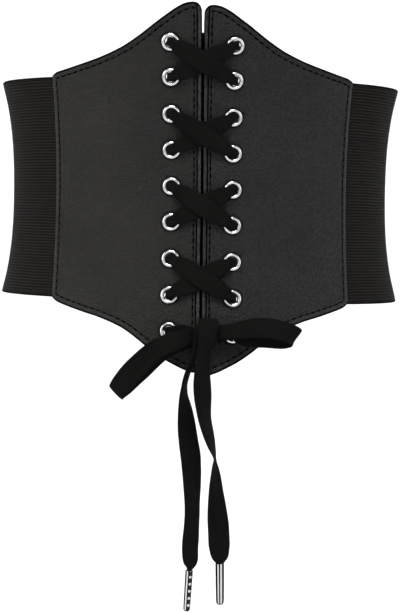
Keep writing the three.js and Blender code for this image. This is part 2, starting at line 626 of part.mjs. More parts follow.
// Tails: turn is the angle of the flat side away from facing the front.
function tailRows(table) {
  return table.map((r) => {
    const t = THREE.MathUtils.degToRad(r.turn);
    return { x: r.x, y: r.y, z: r.z, sx: Math.cos(t), sy: Math.sin(t), sz: 0, w: r.w, t: r.t };
  });
}
const TAIL_RIGHT = [
  { x: 4.2, y: -98.2, z: -75.9, turn: 0, w: 10.4, t: 1.5 },
  { x: 4.2, y: -101.2, z: -75.4, turn: 0, w: 11.0, t: 1.5 },
  { x: 4.1, y: -104.7, z: -76.8, turn: 0, w: 11.8, t: 1.5 },
  { x: 3.9, y: -106.9, z: -80.2, turn: 4, w: 12.0, t: 1.5 },
  { x: 3.2, y: -107.6, z: -85.6, turn: 8, w: 10.4, t: 1.5 },
  { x: 2.3, y: -107.6, z: -91.8, turn: 12, w: 7.8, t: 1.5 },
  { x: 1.5, y: -107.4, z: -98.2, turn: 17, w: 8.2, t: 1.5 },
  { x: 1.0, y: -107.0, z: -104.8, turn: 25, w: 9.8, t: 1.5 },
  { x: 1.0, y: -106.7, z: -108.8, turn: 31, w: 11.4, t: 1.5 },
  { x: 1.1, y: -106.4, z: -112.5, turn: 34, w: 12.4, t: 1.5 },
  { x: 1.6, y: -105.8, z: -119.5, turn: 39, w: TAIL_WIDTH, t: 1.5 },
  { x: 2.2, y: -105.2, z: -126.4, turn: 46, w: TAIL_WIDTH, t: 1.5 },
  { x: 3.1, y: -104.6, z: -133.3, turn: 53, w: TAIL_WIDTH, t: 1.5 },
  { x: 4.9, y: -104.1, z: -140.3, turn: 58, w: TAIL_WIDTH, t: 1.5 },
  { x: 6.9, y: -103.7, z: -147.2, turn: 68, w: TAIL_WIDTH, t: 1.5 },
  { x: 8.9, y: -103.4, z: -154.2, turn: 84, w: TAIL_WIDTH, t: 1.5 },
  { x: 9.6, y: -103.2, z: -161.1, turn: 106, w: TAIL_WIDTH, t: 1.5 },
  { x: 9.9, y: -103.1, z: -168.1, turn: 120, w: TAIL_WIDTH, t: 1.5 },
  { x: 10.1, y: -103.0, z: -175.1, turn: 131, w: TAIL_WIDTH, t: 1.5 },
  { x: 10.6, y: -103.0, z: -182.1, turn: 144, w: TAIL_WIDTH, t: 1.5 },
  { x: 11.1, y: -103.0, z: -189.0, turn: 157, w: TAIL_WIDTH, t: 1.5 },
  { x: 11.7, y: -103.0, z: -196.0, turn: 172, w: TAIL_WIDTH, t: 1.5 },
  { x: 12.1, y: -103.0, z: -203.0, turn: 180, w: TAIL_WIDTH, t: 1.5 },
  { x: 12.3, y: -103.0, z: -206.6, turn: 180, w: 12.6, t: 1.5 },
  { x: 12.5, y: -103.0, z: -209.6, turn: 180, w: 11.4, t: 1.6 },
  { x: 12.65, y: -103.0, z: -212.6, turn: 180, w: 10.6, t: 1.7 },
  { x: 12.7, y: -103.0, z: -215.0, turn: 180, w: 8.0, t: 1.8 },
  { x: 12.75, y: -103.0, z: -216.5, turn: 180, w: 3.6, t: 1.8 },
  { x: 12.8, y: -103.0, z: -219.4, turn: 180, w: 2.7, t: 1.7 },
];
const TAIL_LEFT = [
  { x: -3.1, y: -106.0, z: -83.0, turn: 20, w: 2.5, t: 1.8 },
  { x: -3.2, y: -106.1, z: -89.9, turn: 20, w: 2.6, t: 1.8 },
  { x: -3.6, y: -105.5, z: -96.2, turn: 30, w: 3.2, t: 1.7 },
  { x: -5.3, y: -104.0, z: -101.8, turn: 48, w: 4.6, t: 1.6 },
  { x: -7.2, y: -102.8, z: -106.4, turn: 62, w: 6.4, t: 1.6 },
  { x: -8.9, y: -102.4, z: -113.0, turn: 72, w: 9.4, t: 1.5 },
  { x: -9.4, y: -102.2, z: -119.9, turn: 65, w: 11.4, t: 1.5 },
  { x: -8.6, y: -101.8, z: -126.9, turn: 50, w: 12.4, t: 1.5 },
  { x: -7.8, y: -101.3, z: -133.8, turn: 38, w: TAIL_WIDTH, t: 1.5 },
  { x: -7.0, y: -100.9, z: -140.8, turn: 29, w: TAIL_WIDTH, t: 1.5 },
  { x: -6.0, y: -100.5, z: -147.8, turn: 23, w: TAIL_WIDTH, t: 1.5 },
  { x: -4.9, y: -100.2, z: -154.7, turn: 20, w: TAIL_WIDTH, t: 1.5 },
  { x: -4.3, y: -100.0, z: -161.7, turn: 26, w: TAIL_WIDTH, t: 1.5 },
  { x: -3.9, y: -100.0, z: -168.7, turn: 33, w: TAIL_WIDTH, t: 1.5 },
  { x: -3.7, y: -100.0, z: -175.7, turn: 40, w: TAIL_WIDTH, t: 1.5 },
  { x: -3.6, y: -100.0, z: -182.7, turn: 45, w: TAIL_WIDTH, t: 1.5 },
  { x: -3.6, y: -100.0, z: -189.7, turn: 45, w: TAIL_WIDTH, t: 1.5 },
  { x: -3.9, y: -100.0, z: -196.7, turn: 43, w: TAIL_WIDTH, t: 1.5 },
  { x: -4.3, y: -100.0, z: -203.8, turn: 40, w: TAIL_WIDTH, t: 1.5 },
  { x: -4.5, y: -100.0, z: -209.8, turn: 41, w: TAIL_WIDTH, t: 1.5 },
  { x: -4.2, y: -100.0, z: -214.4, turn: 41, w: 12.2, t: 1.5 },
  { x: -4.0, y: -100.0, z: -217.4, turn: 40, w: 10.4, t: 1.6 },
  { x: -4.2, y: -100.0, z: -219.7, turn: 42, w: 7.4, t: 1.7 },
  { x: -4.7, y: -100.0, z: -221.2, turn: 52, w: 3.6, t: 1.8 },
  { x: -5.0, y: -100.0, z: -224.3, turn: 66, w: 2.7, t: 1.6 },
];
add('tail_left', cordFrom(tailRows(TAIL_LEFT), 1), lace);
add('tail_right', cordFrom(tailRows(TAIL_RIGHT), 1), lace);

// ---------------------------------------------------------------- metal tips
const AGLET_LENGTH = 24;
const AGLET_OUTLINE = [
  // radius, distance below the mouth
  [0, 24], [1.35, 23.8], [1.95, 22.9], [2.12, 21.2], [2.3, 0.5], [2.3, 0], [1.85, 0], [1.85, 4.2], [0, 4.2],
];
function aglet(mouth, foot, turn) {
  const down = foot.clone().sub(mouth).normalize();
  const t = THREE.MathUtils.degToRad(turn);
  const wide = new THREE.Vector3(Math.cos(t), Math.sin(t), 0);
  wide.addScaledVector(down, -wide.dot(down)).normalize();
  const narrow = down.clone().cross(wide);
  const outline = AGLET_OUTLINE.map(([r, d]) => [r, (d * AGLET_LENGTH) / 24]);
  return turned(outline.reverse(), 12, {
    point: mouth, across: wide, up: narrow, out: down, wide: 1.1, narrow: 0.92,
  });
}
add('aglet_left', aglet(new THREE.Vector3(-4.85, -100, -221.6), new THREE.Vector3(-6.15, -100, -245.6), 66), nickel);
add('aglet_right', aglet(new THREE.Vector3(12.72, -103, -216.8), new THREE.Vector3(13.2, -103, -240.8), 4), nickel);

export default group;
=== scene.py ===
import math

import bmesh
import bpy
import numpy as np
from mathutils import Matrix, Vector


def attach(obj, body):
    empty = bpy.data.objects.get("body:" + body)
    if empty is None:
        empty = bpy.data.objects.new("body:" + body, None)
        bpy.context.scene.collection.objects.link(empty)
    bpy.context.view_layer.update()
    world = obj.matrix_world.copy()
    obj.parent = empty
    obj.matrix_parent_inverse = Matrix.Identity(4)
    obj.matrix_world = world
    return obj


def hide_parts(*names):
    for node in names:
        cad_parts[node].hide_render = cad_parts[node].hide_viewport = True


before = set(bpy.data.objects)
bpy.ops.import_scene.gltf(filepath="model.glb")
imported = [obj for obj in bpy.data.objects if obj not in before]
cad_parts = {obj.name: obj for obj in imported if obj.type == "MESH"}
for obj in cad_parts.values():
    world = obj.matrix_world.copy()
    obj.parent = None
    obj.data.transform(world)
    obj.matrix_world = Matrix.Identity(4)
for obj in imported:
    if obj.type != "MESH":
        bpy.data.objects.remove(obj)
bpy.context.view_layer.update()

MM = 0.001
RNG = np.random.default_rng(7)

# ------------------------------------------------------------------ camera
# 400 x 612 picture, 0.585 mm a pixel at the front of the belt.
CAM_AT = Vector((-17.77, -1083.8, -17.0)) * MM
CAM_YAW = math.radians(-1.0)
CAM_PITCH = math.radians(2.95)
CAM_ROLL = math.radians(0.75)
fwd = Vector((-math.sin(CAM_YAW) * math.cos(CAM_PITCH), math.cos(CAM_YAW) * math.cos(CAM_PITCH), -math.sin(CAM_PITCH)))
right = Vector((math.cos(CAM_YAW), math.sin(CAM_YAW), 0.0))
up = right.cross(fwd)
rx = right * math.cos(CAM_ROLL) + up * math.sin(CAM_ROLL)
ry = -right * math.sin(CAM_ROLL) + up * math.cos(CAM_ROLL)
cam_data = bpy.data.cameras.new("camera")
cam_data.lens = 100.55
cam_data.sensor_width = 36.0
cam_data.sensor_fit = "AUTO"
cam_data.clip_start = 0.01
cam_data.clip_end = 50.0
cam = bpy.data.objects.new("camera", cam_data)
bpy.context.scene.collection.objects.link(cam)
m = Matrix.Identity(4)
for k in range(3):
    m[k][0], m[k][1], m[k][2], m[k][3] = rx[k], ry[k], -fwd[k], CAM_AT[k]
cam.matrix_world = m
bpy.context.scene.camera = cam

# ------------------------------------------------------------------ sizes (mm), as in the CAD
WAIST_HALF_WIDTH = 117.7
WAIST_HALF_DEPTH = 84.0
PANEL_SLIP = 0.85
CENTRE_LEAN = 0.9
ELASTIC_RECESS = 0.5
ELASTIC_THICKNESS = 1.4
ELASTIC_TOP = 64.8
ELASTIC_BOTTOM = -66.2
ELASTIC_START_DEG = 40.6
ELASTIC_TILT = 0.8
ELASTIC_TILT_BOTTOM = 1.7
PANEL_WIDTH = 86.0
RIB_PITCH = 1.75
STITCH_PITCH = 4.3

BODY_SHAPE = [
    (-112, 16.4, 12.2), (-90, 12.4, 8.9), (-66, 7.5, 5.2), (-50, 3.8, 2.95), (-33, 1.35, 1.3), (-16, 0.25, 0.3),
    (0, 0, 0), (16, 0.25, 0.3), (33, 1.35, 1.3), (50, 3.8, 2.95), (66, 7.5, 5.2), (90, 12.4, 8.9), (112, 16.4, 12.2),
]
PANEL_OUTLINE = [
    (0.4, 102.0, -104.6), (0.9, 103.6, -106.2), (1.9, 105.0, -107.3), (3.4, 105.9, -107.7), (6, 106.1, -107.2),
    (10, 105.2, -105.7), (15, 102.6, -103.2), (20, 99.1, -100.5), (25, 95.5, -97.3), (30, 91.6, -93.6),
    (35, 87.8, -89.6), (40, 84.3, -85.8), (45, 81.2, -82.6), (50, 78.7, -80.2), (55, 76.5, -78.2),
    (60, 74.6, -76.4), (65, 72.95, -75.0), (70, 71.4, -73.5), (75, 69.9, -71.9), (80, 68.5, -70.2),
    (84, 67.3, -68.5), (86.4, 65.6, -66.4),
]
OUTLINE_SIDE = 86.4
PANEL_SIDE_EDGE = [
    (-112, 89.8), (-66, 87.4), (-35, 86.2), (-6, 85.7), (15, 85.8),
    (40, 86.7), (66, 88.3), (112, 91.3),
]
CENTRE_OPENING = [
    (-112, 0.5),
    (-90, 0.38),
    (0, 0.34),
    (30, 0.36),
    (55, 0.42),
    (75, 0.5),
    (86, 0.54),
    (95, 0.58),
    (101, 0.75),
    (107, 1.15),
]
EYELET_ROWS = [
    (83.5, 18.6), (63.6, 18.2), (42.4, 17.9), (21.5, 17.7), (0.4, 17.7), (-20.5, 17.65), (-41.9, 17.8),
    (-63.2, 18.2), (-84.0, 18.3),
]


def smooth_lut(table, column):
    """A dense lookup of the smooth curve through one column of a table."""
    t = np.array(table, float)
    x, y = t[:, 0], t[:, column]
    s = np.empty_like(y)
    for k in range(len(x)):
        a, b = max(0, k - 1), min(len(x) - 1, k + 1)
        s[k] = (y[b] - y[a]) / (x[b] - x[a])
    xs = np.linspace(x[0], x[-1], 4001)
    i = np.clip(np.searchsorted(x, xs, side="right") - 1, 0, len(x) - 2)
    h = x[i + 1] - x[i]
    u = (xs - x[i]) / h
    u2, u3 = u * u, u * u * u
    ys = (2 * u3 - 3 * u2 + 1) * y[i] + (u3 - 2 * u2 + u) * s[i] * h + (-2 * u3 + 3 * u2) * y[i + 1] + (u3 - u2) * s[i + 1] * h
    return lambda v: np.interp(v, xs, ys)


body_w = smooth_lut(BODY_SHAPE, 1)
body_d = smooth_lut(BODY_SHAPE, 2)
outline_top = smooth_lut(PANEL_OUTLINE, 1)
outline_bottom = smooth_lut(PANEL_OUTLINE, 2)
side_edge = smooth_lut(PANEL_SIDE_EDGE, 1)
opening = smooth_lut(CENTRE_OPENING, 1)


def half_width(z):
    return WAIST_HALF_WIDTH + body_w(z)


def half_depth(z):
    return WAIST_HALF_DEPTH + body_d(z)


def unit(v):
    return v / np.maximum(np.linalg.norm(v, axis=-1, keepdims=True), 1e-12)


def body_frame(angle, z):
    angle, z = np.broadcast_arrays(np.asarray(angle, float), np.asarray(z, float))
    a, b = half_width(z), half_depth(z)
    da = half_width(z + 0.5) - half_width(z - 0.5)
    db = half_depth(z + 0.5) - half_depth(z - 0.5)
    s, c = np.sin(angle), np.cos(angle)
    o = np.zeros_like(a)
    across = unit(np.stack([a * c, b * s, o], -1))
    upv = unit(np.stack([da * s, -db * c, o + 1], -1))
    out = unit(np.cross(across, upv))
    return np.stack([a * s, -b * c, z], -1), across, upv, out


def on_body(angle, z, off):
    p, _, _, n = body_frame(angle, z)
    return p + n * np.asarray(off, float)[..., None]


def centre_x(z):
    return -CENTRE_LEAN * np.maximum(0, z) / 100


def panel_point(side, u, z, off):
    """Point of a panel: u from 0 at the centre edge to 1 at the side edge, z in the panel's own height."""
    u, z, off = np.broadcast_arrays(np.asarray(u, float), np.asarray(z, float), np.asarray(off, float))
    x = centre_x(z) * (1 - u) + side * (opening(z) + u * (side_edge(z) - opening(z)))
    zz = z - side * PANEL_SLIP
    return on_body(np.arcsin(x / half_width(zz)), zz, off)


def panel_top(u):
    return outline_top(0.4 + u * (OUTLINE_SIDE - 0.4))


def panel_bottom(u):
    return outline_bottom(0.4 + u * (OUTLINE_SIDE - 0.4))


# ------------------------------------------------------------------ mesh helpers
def new_object(name, verts, faces, uvs=None, smooth=True):
    mesh = bpy.data.meshes.new(name)
    mesh.from_pydata((np.asarray(verts) * MM).tolist(), [], [list(map(int, f)) for f in faces])
    if uvs is not None:
        layer = mesh.uv_layers.new(name="UVMap")
        loops = np.empty(len(mesh.loops), dtype=np.int32)
        mesh.loops.foreach_get("vertex_index", loops)
        uvs = np.asarray(uvs, float)
        layer.data.foreach_set("uv", (uvs[loops]).astype(np.float32).ravel())
    mesh.validate()
    mesh.update()
    if smooth:
        mesh.polygons.foreach_set("use_smooth", [True] * len(mesh.polygons))
    obj = bpy.data.objects.new(name, mesh)
    bpy.context.scene.collection.objects.link(obj)
    return obj


def grid_faces(nu, nv, base=0, flip=False, wrap_u=False):
    i, j = np.meshgrid(np.arange(nu if wrap_u else nu - 1), np.arange(nv - 1), indexing="ij")
    i, j = i.ravel(), j.ravel()
    k = (i + 1) % nu
    q = np.stack([i * nv + j, k * nv + j, k * nv + j + 1, i * nv + j + 1], 1) + base
    return q[:, ::-1] if flip else q


def wall_mesh(name, outer, inner, uv_u, uv_v, flip):
    """Closed wall between two point grids [column][row]."""
    nu, nv = outer.shape[:2]
    n = nu * nv
    verts = np.concatenate([outer.reshape(-1, 3), inner.reshape(-1, 3)])
    uu, vv = np.broadcast_arrays(uv_u, uv_v)
    uv = np.stack([uu.ravel(), vv.ravel()], 1)
    uv = np.concatenate([uv, uv])
    faces = [grid_faces(nu, nv, 0, flip), grid_faces(nu, nv, n, not flip)]
    rim = []
    for i in range(nu - 1):
        rim.append((i * nv, n + i * nv, n + (i + 1) * nv, (i + 1) * nv))
        t = nv - 1
        rim.append((i * nv + t, (i + 1) * nv + t, n + (i + 1) * nv + t, n + i * nv + t))
    for j in range(nv - 1):
        rim.append((j, j + 1, n + j + 1, n + j))
        e = (nu - 1) * nv
        rim.append((e + j, n + e + j, n + e + j + 1, e + j + 1))
    rim = np.array(rim)
    if flip:
        rim = rim[:, ::-1]
    faces.append(rim)
    return new_object(name, verts, np.concatenate(faces).tolist(), uv)


def lathe(name, outline, sides, point, across, upv, out, wide=1.0, narrow=1.0, bend=None):
    """Surface turned from a closed outline [(radius, height)], on a frame; bend changes the radius."""
    outline = np.asarray(outline, float)
    n = len(outline)
    verts, faces = [], []
    for k in range(sides):
        t = 2 * math.pi * (k + 0.5) / sides
        for i, (r, h) in enumerate(outline):
            rr = r if bend is None else bend(r, h, t)
            verts.append(point + across * (rr * math.cos(t) * wide) + upv * (rr * math.sin(t) * narrow) + out * h)
    good = np.dot(np.cross(across, upv), out) > 0
    for k in range(sides):
        q = (k + 1) % sides
        for i in range(n):
            j = (i + 1) % n
            f = [k * n + i, q * n + i, q * n + j, k * n + j]
            if outline[i][0] == 0 and outline[j][0] == 0:
                continue
            if outline[i][0] == 0:
                f = [k * n + i, q * n + j, k * n + j]
            elif outline[j][0] == 0:
                f = [k * n + i, q * n + i, k * n + j]
            faces.append(f if good else f[::-1])
    obj = new_object(name, verts, faces)
    return obj


def weld(obj, dist=1e-6):
    bm = bmesh.new()
    bm.from_mesh(obj.data)
    bmesh.ops.remove_doubles(bm, verts=bm.verts, dist=dist)
    bmesh.ops.recalc_face_normals(bm, faces=bm.faces)
    bm.to_mesh(obj.data)
    bm.free()


def catmull(points, per):
    """Centripetal curve through the points: dense points and the row position of each."""
    p = np.asarray(points, float)
    n = len(p)
    ext = np.concatenate([[2 * p[0] - p[1]], p, [2 * p[-1] - p[-2]]])
    out, pos = [], []
    for i in range(n - 1):
        p0, p1, p2, p3 = ext[i], ext[i + 1], ext[i + 2], ext[i + 3]
        t0 = 0.0
        t1 = t0 + max(np.linalg.norm(p1 - p0), 1e-6) ** 0.5
        t2 = t1 + max(np.linalg.norm(p2 - p1), 1e-6) ** 0.5
        t3 = t2 + max(np.linalg.norm(p3 - p2), 1e-6) ** 0.5
        for s in range(per + (1 if i == n - 2 else 0)):
            t = t1 + (t2 - t1) * s / per
            a1 = (t1 - t) / (t1 - t0) * p0 + (t - t0) / (t1 - t0) * p1
            a2 = (t2 - t) / (t2 - t1) * p1 + (t - t1) / (t2 - t1) * p2
            a3 = (t3 - t) / (t3 - t2) * p2 + (t - t2) / (t3 - t2) * p3
            b1 = (t2 - t) / (t2 - t0) * a1 + (t - t0) / (t2 - t0) * a2
            b2 = (t3 - t) / (t3 - t1) * a2 + (t - t1) / (t3 - t1) * a3
            out.append((t2 - t) / (t2 - t1) * b1 + (t - t1) / (t2 - t1) * b2)
            pos.append(i + s / per)
    return np.array(out), np.array(pos)


def cord_route(rows, step=1.1):
    """Even, smooth run through rows (x, y, z, sx, sy, sz, w, t): arrays p, side, w, t."""
    rows = np.asarray(rows, float)
    dense, pos = catmull(rows[:, :3], 14)
    seg = np.linalg.norm(np.diff(dense, axis=0), axis=1)
    arc = np.concatenate([[0], np.cumsum(seg)])
    n = max(8, int(round(arc[-1] / step)) + 1)
    at = np.linspace(0, arc[-1], n)
    p = np.stack([np.interp(at, arc, dense[:, k]) for k in range(3)], 1)
    row = np.interp(at, arc, pos)
    rest = np.stack([np.interp(row, np.arange(len(rows)), rows[:, k]) for k in range(3, rows.shape[1])], 1)
    w = max(1, int(round(2.2 / step)))
    ker = np.hanning(2 * w + 3)[1:-1]
    ker /= ker.sum()
    rest = np.stack([np.convolve(np.pad(rest[:, k], w, mode="edge"), ker, mode="valid") for k in range(rest.shape[1])], 1)
    along = unit(np.gradient(p, axis=0))
    side = rest[:, :3]
    side = unit(side - along * np.sum(side * along, 1, keepdims=True))
    return p, side, rest[:, 3], rest[:, 4], along, at


SECTION = 28


def flat_cord(name, rows, step=1.1, pleat=0.5, seed=1, full=12.4, bow=0.0):
    """Soft flat lace along a route. It gathers into lengthwise pleats where it is squeezed narrow."""
    p, side, w, t, along, arc = cord_route(rows, step)
    n = len(p)
    face = np.cross(along, side)
    rng = np.random.default_rng(seed)
    a = np.linspace(0, 2 * math.pi, SECTION, endpoint=False)
    ca, sa = np.cos(a), np.sin(a)
    e = 2.0 / 5.0
    sx = np.sign(ca) * np.abs(ca) ** (2.0 / 3.2)
    sy = np.sign(sa) * np.abs(sa) ** (2.0 / 2.3)
    squeeze = np.clip((full - w) / (full - 4.0), 0, 1)
    # slow unevenness of a soft tube of cloth
    k = np.convolve(np.pad(rng.normal(size=n), 8, mode="edge"), np.hanning(17) / np.hanning(17).sum(), mode="valid")
    k2 = np.convolve(np.pad(rng.normal(size=n), 12, mode="edge"), np.hanning(25) / np.hanning(25).sum(), mode="valid")
    verts = np.empty((n, SECTION, 3))
    phase = k2 * 1.3
    for i in range(n):
        wave = np.cos(math.pi * 1.5 * sx + phase[i]) * pleat * squeeze[i] * (0.5 + 0.5 * min(1.0, w[i] / 8.0))
        dish = bow * (sx * sx - 0.4)
        hw = 0.5 * w[i] * (1 + 0.02 * k[i])
        ht = 0.5 * t[i] * (1 + 0.10 * k2[i])
        verts[i] = p[i] + side[i] * (hw * sx)[:, None] + face[i] * (ht * sy + wave * 0.6 + dish + 0.12 * k[i] * sx)[:, None]
    vlist = verts.reshape(-1, 3)
    faces = []
    for i in range(n - 1):
        for q in range(SECTION):
            r = (q + 1) % SECTION
            faces.append((i * SECTION + q, i * SECTION + r, (i + 1) * SECTION + r, (i + 1) * SECTION + q))
    c0, c1 = len(vlist), len(vlist) + 1
    vlist = np.concatenate([vlist, [verts[0].mean(0) - along[0] * 0.15], [verts[-1].mean(0) + along[-1] * 0.15]])
    for q in range(SECTION):
        r = (q + 1) % SECTION
        faces.append((c0, r, q))
        e0 = (n - 1) * SECTION
        faces.append((c1, e0 + q, e0 + r))
    # across from 0 at one edge of the top to 1, and back on the underside; along in mm
    across_uv = 0.5 * 12.4 * (1 + sx)
    uv = np.stack([np.repeat(arc, SECTION), np.tile(across_uv, n)], 1)
    uv = np.concatenate([uv, [[arc[0], 6], [arc[-1], 6]]])
    good = np.dot(np.cross(side[0], face[0]), along[0])
    obj = new_object(name, vlist, faces if good > 0 else [f[::-1] for f in faces], uv * MM)
    return obj, p * MM, float(arc[-1]) * MM


# ------------------------------------------------------------------ material helpers
class Nodes:
    def __init__(self, name):
        self.mat = bpy.data.materials.new(name)
        self.mat.use_nodes = True
        self.nt = self.mat.node_tree
        self.nt.nodes.clear()
        self.out = self.add("ShaderNodeOutputMaterial")
        self.bsdf = self.add("ShaderNodeBsdfPrincipled")
        self.nt.links.new(self.bsdf.outputs[0], self.out.inputs[0])

    def add(self, kind, **props):
        node = self.nt.nodes.new(kind)
        for key, value in props.items():
            setattr(node, key, value)
        return node

    def link(self, a, b):
        self.nt.links.new(a, b)

    def math(self, op, a, b=None, c=None, clamp=False):
        node = self.add("ShaderNodeMath", operation=op, use_clamp=clamp)
        for i, v in enumerate((a, b, c)):
            if v is None:
                continue
            if isinstance(v, (int, float)):
                node.inputs[i].default_value = v
            else:
                self.link(v, node.inputs[i])
        return node.outputs[0]

    def ramp(self, fac, stops):
        node = self.add("ShaderNodeValToRGB")
        el = node.color_ramp.elements
        while len(el) < len(stops):
            el.new(0.5)
        for e, (pos, col) in zip(el, stops):
            e.position = pos
            e.color = (*col, 1) if len(col) == 3 else col
        self.link(fac, node.inputs[0])
        return node.outputs[0]

    def noise(self, vector, scale, detail=3.0, rough=0.55, dim="3D"):
        node = self.add("ShaderNodeTexNoise", noise_dimensions=dim)
        self.link(vector, node.inputs["Vector"])
        node.inputs["Scale"].default_value = scale
        node.inputs["Detail"].default_value = detail
        node.inputs["Roughness"].default_value = rough
        return node.outputs["Fac"]

    def voronoi(self, vector, scale, feature="F1", rand=1.0):
        node = self.add("ShaderNodeTexVoronoi", feature=feature)
        self.link(vector, node.inputs["Vector"])
        node.inputs["Scale"].default_value = scale
        node.inputs["Randomness"].default_value = rand
        return node.outputs["Distance"]

    def bump(self, height, strength, distance, normal=None):
        node = self.add("ShaderNodeBump")
        node.inputs["Strength"].default_value = strength
        node.inputs["Distance"].default_value = distance
        self.link(height, node.inputs["Height"])
        if normal is not None:
            self.link(normal, node.inputs["Normal"])
        return node.outputs[0]


def leather_material(name, base, light, side, gloss=0.22, dull=(0.50, 0.63), speck=0.35, glint_streak=0.0):
    n = Nodes(name)
    co = n.add("ShaderNodeTexCoord").outputs["Object"]
    # the leather is pressed in round each eyelet, and its colour is painted darker there as the contact shadow of the
    # ring
    near = None
    for row in range(9):
        x, z = eyelet_place(side, row)
        p = body_frame(math.asin(x / float(half_width(z))), z)[0]
        away = n.add("ShaderNodeVectorMath", operation="DISTANCE")
        n.link(co, away.inputs[0])
        away.inputs[1].default_value = tuple(float(v) * MM for v in p)
        near = away.outputs["Value"] if near is None else n.math("MINIMUM", near, away.outputs["Value"])
    ring = n.math("MULTIPLY", near, 100.0)           # 1 = 10 mm
    big = n.noise(co, 22.0, 2.0)
    mid = n.noise(co, 190.0, 3.0)
    pebble = n.voronoi(co, 900.0, "SMOOTH_F1", 0.9)
    crease = n.voronoi(co, 520.0, "DISTANCE_TO_EDGE", 1.0)
    fine = n.noise(co, 2600.0, 2.0)
    mix = n.math("ADD", n.math("MULTIPLY", big, 0.55), n.math("MULTIPLY", mid, 0.45))
    col = n.ramp(mix, [(0.34, base), (0.66, light)])
    # painted shade: the colour is darker in the creases of the grain
    grain_crease_shade = n.ramp(crease, [(0.0, (0.5, 0.5, 0.5)), (0.14, (1, 1, 1))])
    mul = n.add("ShaderNodeMix", data_type="RGBA", blend_type="MULTIPLY")
    mul.inputs[0].default_value = 0.8
    n.link(col, mul.inputs[6])
    n.link(grain_crease_shade, mul.inputs[7])
    # painted contact shadow: the colour is darkened close round each eyelet's ring
    shade = n.ramp(ring, [(0.50, (0.10, 0.10, 0.10)), (0.585, (0.22, 0.22, 0.22)), (0.70, (1, 1, 1))])
    # pale specks of the grain, and long pale streaks along a rolled edge, painted as highlights
    grain = n.noise(co, 900.0, 2.0)
    lift = n.math("MULTIPLY_ADD", n.math("SUBTRACT", grain, 0.5), 7.0 * speck, 1.0)
    # painted highlight: pale streaks running along the rolled bead
    if glint_streak > 0:
        along = n.add("ShaderNodeMapping")
        n.link(co, along.inputs[0])
        along.inputs["Scale"].default_value = (1.0, 1.0, 0.10)
        glint_rub = n.noise(along.outputs[0], 1500.0, 3.0)
        lift = n.math("MULTIPLY", lift, n.math("MULTIPLY_ADD", n.math("SUBTRACT", glint_rub, 0.5), 6.0 * glint_streak, 1.0))
    # painted shade: the colour is darker towards the lacing and the top points, and lighter towards the sides and the
    # bottom, as the light falls
    where = n.add("ShaderNodeSeparateXYZ")
    n.link(co, where.inputs[0])
    painted_centre_shade = n.math("MULTIPLY_ADD", n.math("ABSOLUTE", where.outputs[0], 0.0), 4.2, 0.73)
    painted_top_shade = n.math("MULTIPLY_ADD", where.outputs[2], -1.2, 1.0)
    lift = n.math("MULTIPLY", lift, n.math("MULTIPLY", painted_centre_shade, painted_top_shade))
    lift = n.math("MAXIMUM", lift, 0.08)
    specked = n.add("ShaderNodeVectorMath", operation="SCALE")
    n.link(mul.outputs[2], specked.inputs[0])
    n.link(lift, specked.inputs["Scale"])
    mul2 = n.add("ShaderNodeMix", data_type="RGBA", blend_type="MULTIPLY")
    mul2.inputs[0].default_value = 1.0
    n.link(specked.outputs[0], mul2.inputs[6])
    n.link(shade, mul2.inputs[7])
    n.link(mul2.outputs[2], n.bsdf.inputs["Base Color"])
    rough = n.ramp(n.math("ADD", n.math("MULTIPLY", mid, 0.5), n.math("MULTIPLY", fine, 0.5)),
                   [(0.3, (dull[0],) * 3), (0.75, (dull[1],) * 3)])
    rough2 = n.add("ShaderNodeMix", data_type="RGBA", blend_type="MIX")
    n.link(shade, rough2.inputs[0])
    rough2.inputs[6].default_value = (0.95, 0.95, 0.95, 1)
    n.link(rough, rough2.inputs[7])
    n.link(rough2.outputs[2], n.bsdf.inputs["Roughness"])
    n.bsdf.inputs["Specular IOR Level"].default_value = gloss
    edge = n.ramp(crease, [(0.0, (0, 0, 0)), (0.16, (1, 1, 1))])
    h1 = n.bump(edge, 0.75, 0.00022)
    h2 = n.bump(pebble, 0.90, 0.00046, h1)
    h3 = n.bump(mid, 0.40, 0.0009, h2)
    h4 = n.bump(fine, 0.16, 0.00012, h3)
    dent = n.ramp(ring, [(0.50, (0, 0, 0)), (0.68, (1, 1, 1))])
    h5 = n.bump(dent, 0.8, 0.0006, h4)
    n.link(h5, n.bsdf.inputs["Normal"])
    return n.mat


